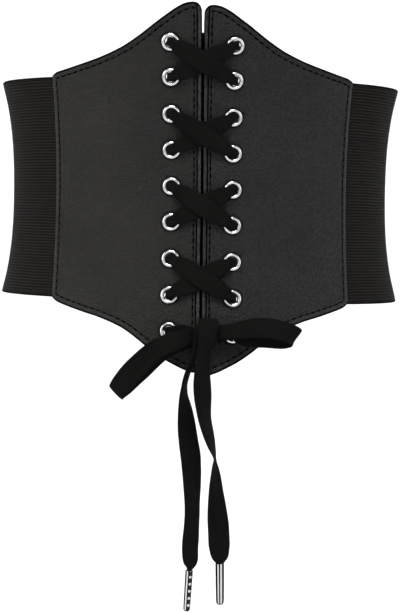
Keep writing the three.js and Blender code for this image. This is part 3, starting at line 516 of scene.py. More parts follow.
def elastic_material(name):
    n = Nodes(name)
    tc = n.add("ShaderNodeTexCoord")
    uv = n.add("ShaderNodeUVMap", uv_map="UVMap").outputs[0]
    sep = n.add("ShaderNodeSeparateXYZ")
    n.link(uv, sep.inputs[0])
    x = n.math("MULTIPLY", sep.outputs[0], 1000.0)   # mm round
    y = n.math("MULTIPLY", sep.outputs[1], 1000.0)   # mm up
    co = tc.outputs["Object"]
    rib = n.math("COSINE", n.math("MULTIPLY", y, 2 * math.pi / RIB_PITCH))
    rib01 = n.math("MULTIPLY_ADD", rib, 0.5, 0.5)
    # covered rubber yarns: small slanted turns on each rib
    turns = n.math("SINE", n.math("ADD", n.math("MULTIPLY", x, 2 * math.pi / 0.62), n.math("MULTIPLY", y, 2.1)))
    turns01 = n.math("MULTIPLY_ADD", turns, 0.5, 0.5)
    weft = n.math("SINE", n.math("MULTIPLY", x, 2 * math.pi / 1.9))
    fuzz = n.noise(co, 1400.0, 2.0)
    slow = n.noise(co, 26.0, 2.0)
    h = n.math("ADD", n.math("MULTIPLY", n.math("MULTIPLY", turns01, rib01), 0.6),
               n.math("ADD", n.math("MULTIPLY", weft, 0.10), n.math("MULTIPLY", fuzz, 0.5)))
    # painted shade: the colour is darker in the hollows between the ribs, with a slow random change of tone
    rib_shade_and_tone = n.math("MULTIPLY", rib01, n.math("MULTIPLY_ADD", slow, 0.35, 0.75))
    col = n.ramp(rib_shade_and_tone, [(0.05, (0.0046, 0.0042, 0.0039)), (0.55, (0.0118, 0.0108, 0.0101)), (1.0, (0.0184, 0.0168, 0.0155))])
    n.link(col, n.bsdf.inputs["Base Color"])
    rough = n.ramp(fuzz, [(0.3, (0.70, 0.70, 0.70)), (0.7, (0.86, 0.86, 0.86))])
    n.link(rough, n.bsdf.inputs["Roughness"])
    n.bsdf.inputs["Specular IOR Level"].default_value = 0.045
    n.bsdf.inputs["Sheen Weight"].default_value = 0.003
    n.bsdf.inputs["Sheen Roughness"].default_value = 0.5
    n.bsdf.inputs["Sheen Tint"].default_value = (0.75, 0.68, 0.62, 1)
    n.link(n.bump(h, 0.55, 0.00020), n.bsdf.inputs["Normal"])
    return n.mat


def lace_material(name):
    n = Nodes(name)
    uv = n.add("ShaderNodeUVMap", uv_map="UVMap").outputs[0]
    sep = n.add("ShaderNodeSeparateXYZ")
    n.link(uv, sep.inputs[0])
    x = n.math("MULTIPLY", sep.outputs[0], 1000.0)   # mm along
    y = n.math("MULTIPLY", sep.outputs[1], 1000.0)   # mm across
    co = n.add("ShaderNodeTexCoord").outputs["Object"]
    # tubular braid: yarns cross on two slants, 0.8 mm apart
    k = 2 * math.pi / 0.8
    a = n.math("SINE", n.math("MULTIPLY", n.math("ADD", x, n.math("MULTIPLY", y, 0.62)), k))
    b = n.math("SINE", n.math("MULTIPLY", n.math("SUBTRACT", x, n.math("MULTIPLY", y, 0.62)), k))
    weave = n.math("MULTIPLY_ADD", n.math("MULTIPLY", a, b), 0.5, 0.5)
    wales = n.math("MULTIPLY_ADD", n.math("COSINE", n.math("MULTIPLY", y, 2 * math.pi / 0.9)), 0.5, 0.5)
    fuzz = n.noise(co, 1700.0, 3.0)
    slow = n.noise(co, 60.0, 2.0)
    h = n.math("ADD", n.math("MULTIPLY", weave, 0.55), n.math("ADD", n.math("MULTIPLY", wales, 0.35), n.math("MULTIPLY", fuzz, 0.5)))
    tone = n.math("ADD", n.math("MULTIPLY", weave, 0.35), n.math("ADD", n.math("MULTIPLY", slow, 0.45), n.math("MULTIPLY", fuzz, 0.25)))
    col = n.ramp(tone, [(0.25, (0.0022, 0.0022, 0.0021)), (0.8, (0.0062, 0.0061, 0.0057))])
    n.link(col, n.bsdf.inputs["Base Color"])
    rough = n.ramp(fuzz, [(0.3, (0.80, 0.80, 0.80)), (0.7, (0.95, 0.95, 0.95))])
    n.link(rough, n.bsdf.inputs["Roughness"])
    n.bsdf.inputs["Specular IOR Level"].default_value = 0.05
    n.bsdf.inputs["Sheen Weight"].default_value = 0.008
    n.bsdf.inputs["Sheen Roughness"].default_value = 0.5
    n.link(n.bump(h, 0.6, 0.00022), n.bsdf.inputs["Normal"])
    return n.mat


def thread_material(name, tone, gloss):
    n = Nodes(name)
    co = n.add("ShaderNodeTexCoord").outputs["Object"]
    twist = n.noise(co, 2400.0, 2.0)
    col = n.ramp(twist, [(0.3, tuple(0.6 * c for c in tone)), (0.7, tone)])
    n.link(col, n.bsdf.inputs["Base Color"])
    rough = n.ramp(twist, [(0.3, (0.6, 0.6, 0.6)), (0.7, (0.8, 0.8, 0.8))])
    n.link(rough, n.bsdf.inputs["Roughness"])
    n.bsdf.inputs["Specular IOR Level"].default_value = gloss
    n.link(n.bump(twist, 0.4, 0.00008), n.bsdf.inputs["Normal"])
    return n.mat


def metal_material(name, base, rough_lo, rough_hi, scratch=0.15):
    n = Nodes(name)
    co = n.add("ShaderNodeTexCoord").outputs["Object"]
    cloud = n.noise(co, 260.0, 3.0)
    fine = n.noise(co, 3200.0, 3.0)
    col = n.ramp(cloud, [(0.3, tuple(0.9 * c for c in base)), (0.7, base)])
    n.link(col, n.bsdf.inputs["Base Color"])
    n.bsdf.inputs["Metallic"].default_value = 1.0
    rough = n.ramp(n.math("ADD", n.math("MULTIPLY", cloud, 0.6), n.math("MULTIPLY", fine, 0.4)),
                   [(0.3, (rough_lo,) * 3), (0.7, (rough_hi,) * 3)])
    n.link(rough, n.bsdf.inputs["Roughness"])
    n.link(n.bump(fine, scratch, 0.00003), n.bsdf.inputs["Normal"])
    return n.mat


def paint(obj, *mats):
    obj.data.materials.clear()
    for mat in mats:
        obj.data.materials.append(mat)


def place(obj, slot, *nodes):
    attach(obj, "root")
    if nodes:
        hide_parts(*nodes)


# ------------------------------------------------------------------ lace route (as in the CAD)
FRONT_PASS = [
    (7.0, 4.9, 9.8, 1.6),
    (4.0, 5.1, 7.8, 1.8),
    (1.2, 3.8, 4.4, 2.2),
    (0.0, 1.2, 4.9, 3.8),
]
BACK_PASS = [
    (1.0, -1.6, 4.0, 2.0),
    (3.0, -2.95, 6.4, 1.8),
    (8.0, -2.7, 10.4, 1.5),
]
HOLE_FILL = (6.2, 6.5)       # the lace bunches up in an eyelet; both ends of the row are smoothed down
TOP_RUN = {"front": 5.75, "back": -4.6}
UNDER_RUN = {"front": 3.75, "back": -2.45}
KNOT = {"x": 2.6, "y": -100.9, "z": -85.2, "hx": 6.4, "hy": 4.6, "hz": 8.6}
LACE_END = {"x": 7.3, "z": -85.0, "y": -98.9}
LACE_WIDTH, LACE_THICKNESS, TAIL_WIDTH = 12.2, 1.5, 12.6


def eyelet_place(side, i):
    z = EYELET_ROWS[i][0] - side * PANEL_SLIP
    return float(centre_x(z) + side * EYELET_ROWS[i][1]), z


# the right panel's copy is darker and cooler in tone than the left: painted shade, as less and cooler light falls on
# that side
MAT_LEATHER_L = leather_material("leather_left", (0.0086, 0.0083, 0.0077), (0.0158, 0.0152, 0.0141), -1, speck=0.30)
MAT_LEATHER_R = leather_material("leather_right", (0.0076, 0.0076, 0.0082), (0.0142, 0.0142, 0.0153), 1, speck=0.70)
# near black: the top and bottom edges, and painted shade in the crease beside the bead, on the centre edge and on the
# tongue under the other panel
MAT_DARK_EDGE_AND_CREASE_SHADE_L = leather_material("dark_edge_and_crease_shade_left", (0.0006, 0.0006, 0.0006), (0.0012, 0.0012, 0.0011), -1, 0.0, (0.8, 0.9))
MAT_DARK_EDGE_AND_CREASE_SHADE_R = leather_material("dark_edge_and_crease_shade_right", (0.0006, 0.0006, 0.0006), (0.0012, 0.0012, 0.0012), 1, 0.0, (0.8, 0.9))
# the bead along the centre edge is painted much lighter than the leather, with pale streaks, as its highlight; the
# left bead is painted lighter still, as more light falls on it
MAT_BEAD_HIGHLIGHT_L = leather_material("bead_painted_highlight_left", (0.0260, 0.0245, 0.0225), (0.0400, 0.0380, 0.0350), -1, 0.24, (0.42, 0.58), 0.5, 0.9)
MAT_BEAD_HIGHLIGHT_R = leather_material("bead_painted_highlight_right", (0.0150, 0.0145, 0.0140), (0.0280, 0.0270, 0.0262), 1, 0.22, (0.45, 0.60), 0.5, 0.9)
# the rim outside the seam, on the bottom and side edges, is painted lighter than the leather as a highlight
MAT_RIM_HIGHLIGHT_L = leather_material("rim_painted_highlight_left", (0.0120, 0.0110, 0.0098), (0.0200, 0.0186, 0.0166), -1, 0.26, (0.46, 0.58))
MAT_RIM_HIGHLIGHT_R = leather_material("rim_painted_highlight_right", (0.0120, 0.0110, 0.0100), (0.0200, 0.0186, 0.0170), 1, 0.26, (0.46, 0.58))
MAT_ELASTIC = elastic_material("ribbed_elastic")
# the band's top and bottom edges and its cut walls are painted near black, a dark outline
MAT_SELVEDGE = thread_material("elastic_selvedge", (0.0007, 0.0006, 0.0006), 0.0)
MAT_LACE = lace_material("lace_weave")
MAT_THREAD = thread_material("stitch_thread", (0.0068, 0.0065, 0.0062), 0.1)
# painted shade: near black for the shade in the needle holes
MAT_HOLE_SHADE = thread_material("stitch_hole_painted_shade", (0.0006, 0.0006, 0.0006), 0.0)
MAT_NICKEL = metal_material("nickel_plate", (0.80, 0.80, 0.81), 0.10, 0.22)
MAT_TIP = metal_material("nickel_tip", (0.74, 0.74, 0.75), 0.12, 0.26, 0.25)
# painted reflections: dark and dim non-metal copies for the dark reflections and seam shade on the aglets
MAT_DIM_REFLECTION = metal_material("nickel_painted_dim_reflection", (0.034, 0.026, 0.021), 0.42, 0.6)
MAT_DARK_REFLECTION = metal_material("nickel_painted_dark_reflection", (0.0060, 0.0050, 0.0045), 0.6, 0.8)
for painted_dark_metal in (MAT_DIM_REFLECTION, MAT_DARK_REFLECTION):
    shader = next(k for k in painted_dark_metal.node_tree.nodes if k.type == "BSDF_PRINCIPLED")
    shader.inputs["Metallic"].default_value = 0.0
    shader.inputs["Specular IOR Level"].default_value = 0.0
# painted shade: dark metal for the inside of each eyelet barrel
MAT_BARREL_SHADE = metal_material("nickel_inside_painted_shade", (0.020, 0.017, 0.015), 0.45, 0.6)


def lace_row(x, z, off, sx, sz, w, t):
    p, across, upv, out = body_frame(math.asin(x / float(half_width(z))), z)
    s = across * sx + upv * sz
    q = p + out * off
    return [*q, *s, w, t]


def lace_half(side, run):
    rows = []
    s = side

    def upright(dx, dz):
        n = math.hypot(dx, dz)
        return (-dz / n, dx / n) if dx > 0 else (dz / n, -dx / n)

    def norm(v):
        n = math.hypot(*v)
        return v[0] / n, v[1] / n

    for i in range(9):
        hx, hz = eyelet_place(s, i)
        goes_in = i % 2 == 1
        ux, uz = (0.0, hz) if i == 0 else eyelet_place(-s, i - 1)
        nx, nz = (KNOT["x"] + s * LACE_END["x"], LACE_END["z"]) if i == 8 else eyelet_place(-s, i + 1)
        inb, outb = (ux - hx, uz - hz), (nx - hx, nz - hz)
        ix, iz = norm(inb)
        ox, oz = norm(outb)
        ins, outs = upright(*inb), upright(*outb)
        mid = norm((ins[0] + outs[0], ins[1] + outs[1]))
        first = FRONT_PASS if goes_in else BACK_PASS[::-1]
        second = BACK_PASS if goes_in else FRONT_PASS[::-1]
        for d, off, w, t in first:
            if d == 0:
                w, t = HOLE_FILL
            k = mid if d < 2 else ins
            rows.append(lace_row(hx + ix * d, hz + iz * d, off, k[0], k[1], w, t))
        for d, off, w, t in second:
            if i == 8 and d > 7:
                continue
            if d == 0:
                w, t = HOLE_FILL
            k = mid if d < 2 else outs
            rows.append(lace_row(hx + ox * d, hz + oz * d, off, k[0], k[1], w, t))
        if i < 8:
            off = run["back"] if goes_in else run["front"]
            rows.append(lace_row(hx + outb[0] * 0.5, hz + outb[1] * 0.5, off, outs[0], outs[1], LACE_WIDTH, LACE_THICKNESS))
        s = -s
    e = -s
    rows.append([KNOT["x"] + e * (LACE_END["x"] + 2.0), LACE_END["y"] + 0.6, LACE_END["z"] + 0.4, 0, 0, 1, 9.8, 1.5])
    rows.append([KNOT["x"] + e * LACE_END["x"], LACE_END["y"], LACE_END["z"], 0, 0, 1, 9.0, 1.5])
    return rows


bar_z = (eyelet_place(-1, 0)[1] + eyelet_place(1, 0)[1]) / 2
bar_row = lace_row(float(centre_x(bar_z)), bar_z, -2.7, 0, 1, LACE_WIDTH, LACE_THICKNESS)
lace_rows = lace_half(-1, TOP_RUN)[::-1] + [bar_row] + lace_half(1, UNDER_RUN)
lace_obj, _, _ = flat_cord("lace_crossed_woven", lace_rows, step=1.0, pleat=0.55, seed=11)
paint(lace_obj, MAT_LACE)
place(lace_obj, "lace_fabric", "lace_crossed")

# ------------------------------------------------------------------ bow loops and tails (as in the CAD)
LOOP_LEFT = [
    (-4.6, -101.2, -87.6, 0, 0, 1, 8.2, 1.5),
    (-12, -102.2, -89.0, 0, 0, 1, 10.6, 1.5),
    (-21.4, -102.6, -93.2, -0.4, 0, 0.9, 11.2, 1.5),
    (-34.8, -103.4, -104.7, -0.7, 0, 0.71, TAIL_WIDTH, 1.5),
    (-44.0, -104.6, -113.6, -0.7, 0, 0.71, 12.2, 1.5),
    (-47.9, -107.2, -117.1, -0.7, 0, 0.71, 11.0, 1.5),
    (-48.0, -110.2, -117.2, -0.7, 0, 0.71, 11.0, 1.5),
    (-44.9, -112.8, -112.3, -0.7, 0, 0.71, 12.2, 1.5),
    (-37.1, -113.0, -102.7, -0.7, 0, 0.71, TAIL_WIDTH, 1.5),
    (-24.4, -110.6, -91.7, -0.55, 0, 0.8, 11.6, 1.5),
    (-12, -106.6, -86.6, 0, 0, 1, 10.2, 1.5),
    (-4.6, -103.4, -84.8, 0, 0, 1, 8.0, 1.5),
]
LOOP_RIGHT = [
    (9.5, -101.0, -82.8, 0, 0, 1, 7.8, 1.5),
    (15.5, -101.6, -82.6, 0, 0, 1, 8.2, 1.5),
    (20, -101.6, -83.2, 0, 0, 1, 8.8, 1.5),
    (25.5, -101.2, -84.8, 0, 0.1, 1, 12.2, 1.5),
    (38, -100.8, -85.2, 0, 0.1, 1, TAIL_WIDTH, 1.5),
    (48, -100.8, -85.9, 0.42, 0.1, 0.9, 12.0, 1.5),
    (54.4, -103.4, -85.0, 0.62, 0.12, 0.77, 10.6, 1.5),
    (54.6, -106.6, -84.2, 0.6, 0.15, 0.79, 10.6, 1.5),
    (49.6, -110.0, -81.9, 0.34, 0.33, 0.88, 11.8, 1.5),
    (40, -111.2, -79.4, 0, 0.45, 0.89, TAIL_WIDTH, 1.5),
    (29, -110.0, -79.4, 0, 0.45, 0.89, 12.0, 1.5),
    (19, -106.8, -81.6, 0, 0.2, 0.98, 9.2, 1.5),
    (13, -104.6, -82.2, 0, 0.1, 1, 8.2, 1.5),
    (9.5, -103.7, -82.2, 0, 0, 1, 7.8, 1.5),
]


def tail_rows(table):
    return [(x, y, z, math.cos(math.radians(a)), math.sin(math.radians(a)), 0, w, t) for x, y, z, a, w, t in table]


TAIL_RIGHT = [
    (4.2, -98.2, -75.9, 0, 10.4, 1.5),
    (4.2, -101.2, -75.4, 0, 11.0, 1.5),
    (4.1, -104.7, -76.8, 0, 11.8, 1.5),
    (3.9, -106.9, -80.2, 4, 12.0, 1.5),
    (3.2, -107.6, -85.6, 8, 10.4, 1.5),
    (2.3, -107.6, -91.8, 12, 7.8, 1.5),
    (1.5, -107.4, -98.2, 17, 8.2, 1.5),
    (1.0, -107.0, -104.8, 25, 9.8, 1.5),
    (1.0, -106.7, -108.8, 31, 11.4, 1.5),
    (1.1, -106.4, -112.5, 34, 12.4, 1.5),
    (1.6, -105.8, -119.5, 39, TAIL_WIDTH, 1.5),
    (2.2, -105.2, -126.4, 46, TAIL_WIDTH, 1.5),
    (3.1, -104.6, -133.3, 53, TAIL_WIDTH, 1.5),
    (4.9, -104.1, -140.3, 58, TAIL_WIDTH, 1.5),
    (6.9, -103.7, -147.2, 68, TAIL_WIDTH, 1.5),
    (8.9, -103.4, -154.2, 84, TAIL_WIDTH, 1.5),
    (9.6, -103.2, -161.1, 106, TAIL_WIDTH, 1.5),
    (9.9, -103.1, -168.1, 120, TAIL_WIDTH, 1.5),
    (10.1, -103.0, -175.1, 131, TAIL_WIDTH, 1.5),
    (10.6, -103.0, -182.1, 144, TAIL_WIDTH, 1.5),
    (11.1, -103.0, -189.0, 157, TAIL_WIDTH, 1.5),
    (11.7, -103.0, -196.0, 172, TAIL_WIDTH, 1.5),
    (12.1, -103.0, -203.0, 180, TAIL_WIDTH, 1.5),
    (12.3, -103.0, -206.6, 180, 12.6, 1.5),
    (12.5, -103.0, -209.6, 180, 11.4, 1.6),
    (12.65, -103.0, -212.6, 180, 10.6, 1.7),
    (12.7, -103.0, -215.0, 180, 8.0, 1.8),
    (12.75, -103.0, -216.5, 180, 3.6, 1.8),
    (12.8, -103.0, -219.4, 180, 2.7, 1.7),
]
TAIL_LEFT = [
    (-3.1, -106.0, -83.0, 20, 2.5, 1.8),
    (-3.2, -106.1, -89.9, 20, 2.6, 1.8),
    (-3.6, -105.5, -96.2, 30, 3.2, 1.7),
    (-5.3, -104.0, -101.8, 48, 4.6, 1.6),
    (-7.2, -102.8, -106.4, 62, 6.4, 1.6),
    (-8.9, -102.4, -113.0, 72, 9.4, 1.5),
    (-9.4, -102.2, -119.9, 65, 11.4, 1.5),
    (-8.6, -101.8, -126.9, 50, 12.4, 1.5),
    (-7.8, -101.3, -133.8, 38, TAIL_WIDTH, 1.5),
    (-7.0, -100.9, -140.8, 29, TAIL_WIDTH, 1.5),
    (-6.0, -100.5, -147.8, 23, TAIL_WIDTH, 1.5),
    (-4.9, -100.2, -154.7, 20, TAIL_WIDTH, 1.5),
    (-4.3, -100.0, -161.7, 26, TAIL_WIDTH, 1.5),
    (-3.9, -100.0, -168.7, 33, TAIL_WIDTH, 1.5),
    (-3.7, -100.0, -175.7, 40, TAIL_WIDTH, 1.5),
    (-3.6, -100.0, -182.7, 45, TAIL_WIDTH, 1.5),
    (-3.6, -100.0, -189.7, 45, TAIL_WIDTH, 1.5),
    (-3.9, -100.0, -196.7, 43, TAIL_WIDTH, 1.5),
    (-4.3, -100.0, -203.8, 40, TAIL_WIDTH, 1.5),
    (-4.5, -100.0, -209.8, 41, TAIL_WIDTH, 1.5),
    (-4.2, -100.0, -214.4, 41, 12.2, 1.5),
    (-4.0, -100.0, -217.4, 40, 10.4, 1.6),
    (-4.2, -100.0, -219.7, 42, 7.4, 1.7),
    (-4.7, -100.0, -221.2, 52, 3.6, 1.8),
    (-5.0, -100.0, -224.3, 66, 2.7, 1.6),
]

AGLET_LENGTH = 24.0
AGLET_OUTLINE = [
    (0, 24), (0.7, 23.97), (1.2, 23.85), (1.6, 23.55), (1.85, 23.1), (1.98, 22.4), (2.08, 21.3), (2.2, 12.0), (2.28, 0.5),
    (2.26, 0.15), (2.15, 0), (1.95, 0.05), (1.86, 0.3), (1.85, 4.2), (0, 4.2),
]


def aglet(name, mouth, foot, turn, seam, teeth):
    mouth, foot = np.array(mouth, float), np.array(foot, float)
    down = unit(foot - mouth)
    t = math.radians(turn)
    wide = np.array([math.cos(t), math.sin(t), 0.0])
    wide = unit(wide - down * wide.dot(down))
    narrow = np.cross(down, wide)
    dense = []
    base = AGLET_OUTLINE[::-1]
    for (r0, h0), (r1, h1) in zip(base, base[1:]):
        steps = max(1, int(abs(h1 - h0) / 0.45))
        for q in range(steps):
            dense.append((r0 + (r1 - r0) * q / steps, h0 + (h1 - h0) * q / steps))
    dense.append(base[-1])
    s = math.radians(seam)

    def bend(r, h, a):
        d = (a - s + math.pi) % (2 * math.pi) - math.pi
        if r < 1.9 or h > 23.0:
            return r
        arc = d * 2.2
        dip = 0.26 * math.exp(-(arc / 0.22) ** 2)
        if teeth:
            # the crimped edge bites over the other in a row of teeth
            saw = abs(((h / 2.4) % 1.0) - 0.5) * 2.0
            dip = 0.30 * math.exp(-((arc - 0.55 * saw) / 0.24) ** 2)
            if 0.0 < h < 21.5:
                dip += 0.10 * (1 if saw > 0.55 and -0.9 < arc < 0.0 else 0)
        return r - dip

    obj = lathe(name, dense, 72, mouth, wide, narrow, down, 1.1, 0.92, bend)
    weld(obj)
    paint(obj, MAT_TIP, MAT_DARK_REFLECTION, MAT_DIM_REFLECTION)
    # painted reflection and shade: the rolled metal is painted dark in its seam, down its sides and at its end, as the
    # dark reflections on the round tube and the shade in the seam
    mids = np.empty(len(obj.data.polygons) * 3)
    obj.data.polygons.foreach_get("center", mids)
    mids = mids.reshape(-1, 3) / MM - mouth
    high = mids @ down
    away = mids - high[:, None] * down
    side = away[:, 0] / np.maximum(np.linalg.norm(away[:, :2], axis=1), 1e-6)
    front = away[:, 1] < 0
    kind = np.zeros(len(mids), np.int32)
    if teeth:
        kind[side < -0.56] = 1
        kind[front & (side > -0.18)] = 2
        kind[front & (np.abs(side + 0.08) < 0.14)] = 1
        kind[front & (side > 0.1) & (side < 0.84) & (((high + 1.2) / 4.1) % 1.0 < 0.34)] = 0
        kind[side > 0.80] = 1
    else:
        kind[np.abs(side) > 0.62] = 1
        kind[front & (side > -0.30) & (side < 0.14)] = 1
    kind[high > 22.9] = 2 if teeth else 1
    obj.data.polygons.foreach_set("material_index", kind)
    return obj


aglet_l = aglet("aglet_left_rolled", (-4.85, -100, -221.6), (-6.15, -100, -245.6), 66, -60, True)
aglet_r = aglet("aglet_right_rolled", (12.72, -103, -216.8), (13.2, -103, -240.8), 4, 92, False)
place(aglet_l, "nickel", "aglet_left")
place(aglet_r, "nickel", "aglet_right")

for name, rows, node, seed, mate in (
    ("tail_left_woven", tail_rows(TAIL_LEFT), "tail_left", 21, aglet_l),
    ("tail_right_woven", tail_rows(TAIL_RIGHT), "tail_right", 22, aglet_r),
    ("bow_loop_left_woven", LOOP_LEFT, "bow_loop_left", 23, None),
    ("bow_loop_right_woven", LOOP_RIGHT, "bow_loop_right", 24, None),
):
    obj, path, length = flat_cord(name, rows, step=1.1, pleat=0.45, seed=seed)
    paint(obj, MAT_LACE)
    place(obj, "lace_fabric", node)


# ------------------------------------------------------------------ knot
def knot():
    outline = []
    for x in np.linspace(-1, 1, 25):
        r = (1 - 0.38 * abs(x) ** 3.0)
        outline.append((r, x))
    sides = 96
    pts, faces = [], []
    n = len(outline)
    for k in range(sides):
        a = 2 * math.pi * k / sides
        for r, x in outline:
            # lengthwise folds, deeper at the open ends than round the middle
            fold = 0.035 * abs(x) ** 1.4 * math.sin(6 * a + 1.1 * x + 0.6) + 0.012 * math.sin(4 * a + 2.2 * x)
            wrap = 0.035 * math.exp(-((x + 0.15) / 0.5) ** 2) * math.cos(3 * (x + 0.15) / 0.5)
            rr = r * (0.97 + fold) + wrap
            pts.append((KNOT["x"] + x * KNOT["hx"], KNOT["y"] + rr * KNOT["hy"] * math.cos(a), KNOT["z"] + rr * KNOT["hz"] * math.sin(a)))
    for k in range(sides):
        q = (k + 1) % sides
        for i in range(n - 1):
            faces.append((k * n + i, q * n + i, q * n + i + 1, k * n + i + 1))
    c0 = len(pts)
    pts.append((KNOT["x"] - KNOT["hx"], KNOT["y"], KNOT["z"]))
    pts.append((KNOT["x"] + KNOT["hx"], KNOT["y"], KNOT["z"]))
    for k in range(sides):
        q = (k + 1) % sides
        faces.append((c0, q * n, k * n))
        faces.append((c0 + 1, k * n + n - 1, q * n + n - 1))
    uv = [((k / sides) * 45.0 * MM, (j / n) * 12.4 * MM) for k in range(sides) for j in range(n)] + [(0, 0), (0, 0)]
    obj = new_object("knot_wrapped", pts, faces, uv)
    bm = bmesh.new()
    bm.from_mesh(obj.data)
    bmesh.ops.recalc_face_normals(bm, faces=bm.faces)
    bm.to_mesh(obj.data)
    bm.free()
    return obj


knot_obj = knot()
paint(knot_obj, MAT_LACE)
place(knot_obj, "lace_fabric", "knot")


# ------------------------------------------------------------------ eyelets
def eyelet_outline():
    pts = []
    # rolled front flange: a half round from the barrel's mouth out to the rim
    for k in range(0, 13):
        a = math.pi * (1 - k / 12)
        pts.append((4.16 + 1.04 * math.cos(a), 2.42 + 1.0 * math.sin(a)))
    pts.append((5.12, 2.37))
    pts.append((3.6, 2.37))
    pts.append((3.6, -0.35))
    pts.append((4.62, -0.35))
    for k in range(0, 7):
        a = math.pi * k / 6
        pts.append((3.9 + 0.76 * math.cos(a), -0.42 - 0.5 * math.sin(a)))
    pts.append((3.1, -0.30))
    return pts[::-1]


def eyelet(side, i):
    z = EYELET_ROWS[i][0] - side * PANEL_SLIP
    x = float(centre_x(z) + side * EYELET_ROWS[i][1])
    p, across, upv, out = body_frame(math.asin(x / float(half_width(z))), z)
    word = "left" if side < 0 else "right"
    obj = lathe(f"eyelet_{word}_{i + 1}_rolled", eyelet_outline(), 56, p, across, upv, out)
    bm = bmesh.new()
    bm.from_mesh(obj.data)
    bmesh.ops.recalc_face_normals(bm, faces=bm.faces)
    bm.to_mesh(obj.data)
    bm.free()
    paint(obj, MAT_NICKEL, MAT_BARREL_SHADE)
    # painted shade inside the barrel, where the lace and the body keep the light out
    for poly in obj.data.polygons:
        c = Vector(poly.center) / MM - Vector(p)
        h = c.dot(Vector(out))
        if h < 2.25 and (c - h * Vector(out)).length < 3.4:
            poly.material_index = 1
    place(obj, "nickel", f"eyelet_{word}_{i + 1}")
    return obj


for i in range(9):
    eyelet(-1, i)
    eyelet(1, i)

# ------------------------------------------------------------------ leather panels
STITCH_IN = {"edge": 3.6, "side": 2.5, "centre": 4.4}
TONGUE_REACH = 0.5
TONGUE = (0.8, 0.05)
TONGUE_LENGTH = [(0, 0.03), (0.03, 1), (0.9, 1), (0.925, 0.03), (1, 0.03)]


def roll_outer(d):
    xs = [0, 0.1, 0.25, 0.45, 0.7, 1.0, 1.4, 1.8, 2.1, 2.35, 2.5, 2.65, 2.8, 3.0, 3.3, 200]
    ys = [1.5, 1.72, 1.92, 2.1, 2.26, 2.38, 2.45, 2.40, 2.27, 2.02, 1.74, 1.38, 1.68, 1.9, 2.0, 2.0]
    return np.interp(d, xs, ys)


def roll_inner(d, side):
    if side < 0:
        return np.zeros_like(d)
    return np.interp(d, [0, 0.95, 1.4, 1.8, 200], [1.15, 1.1, 0.3, 0.0, 0.0])


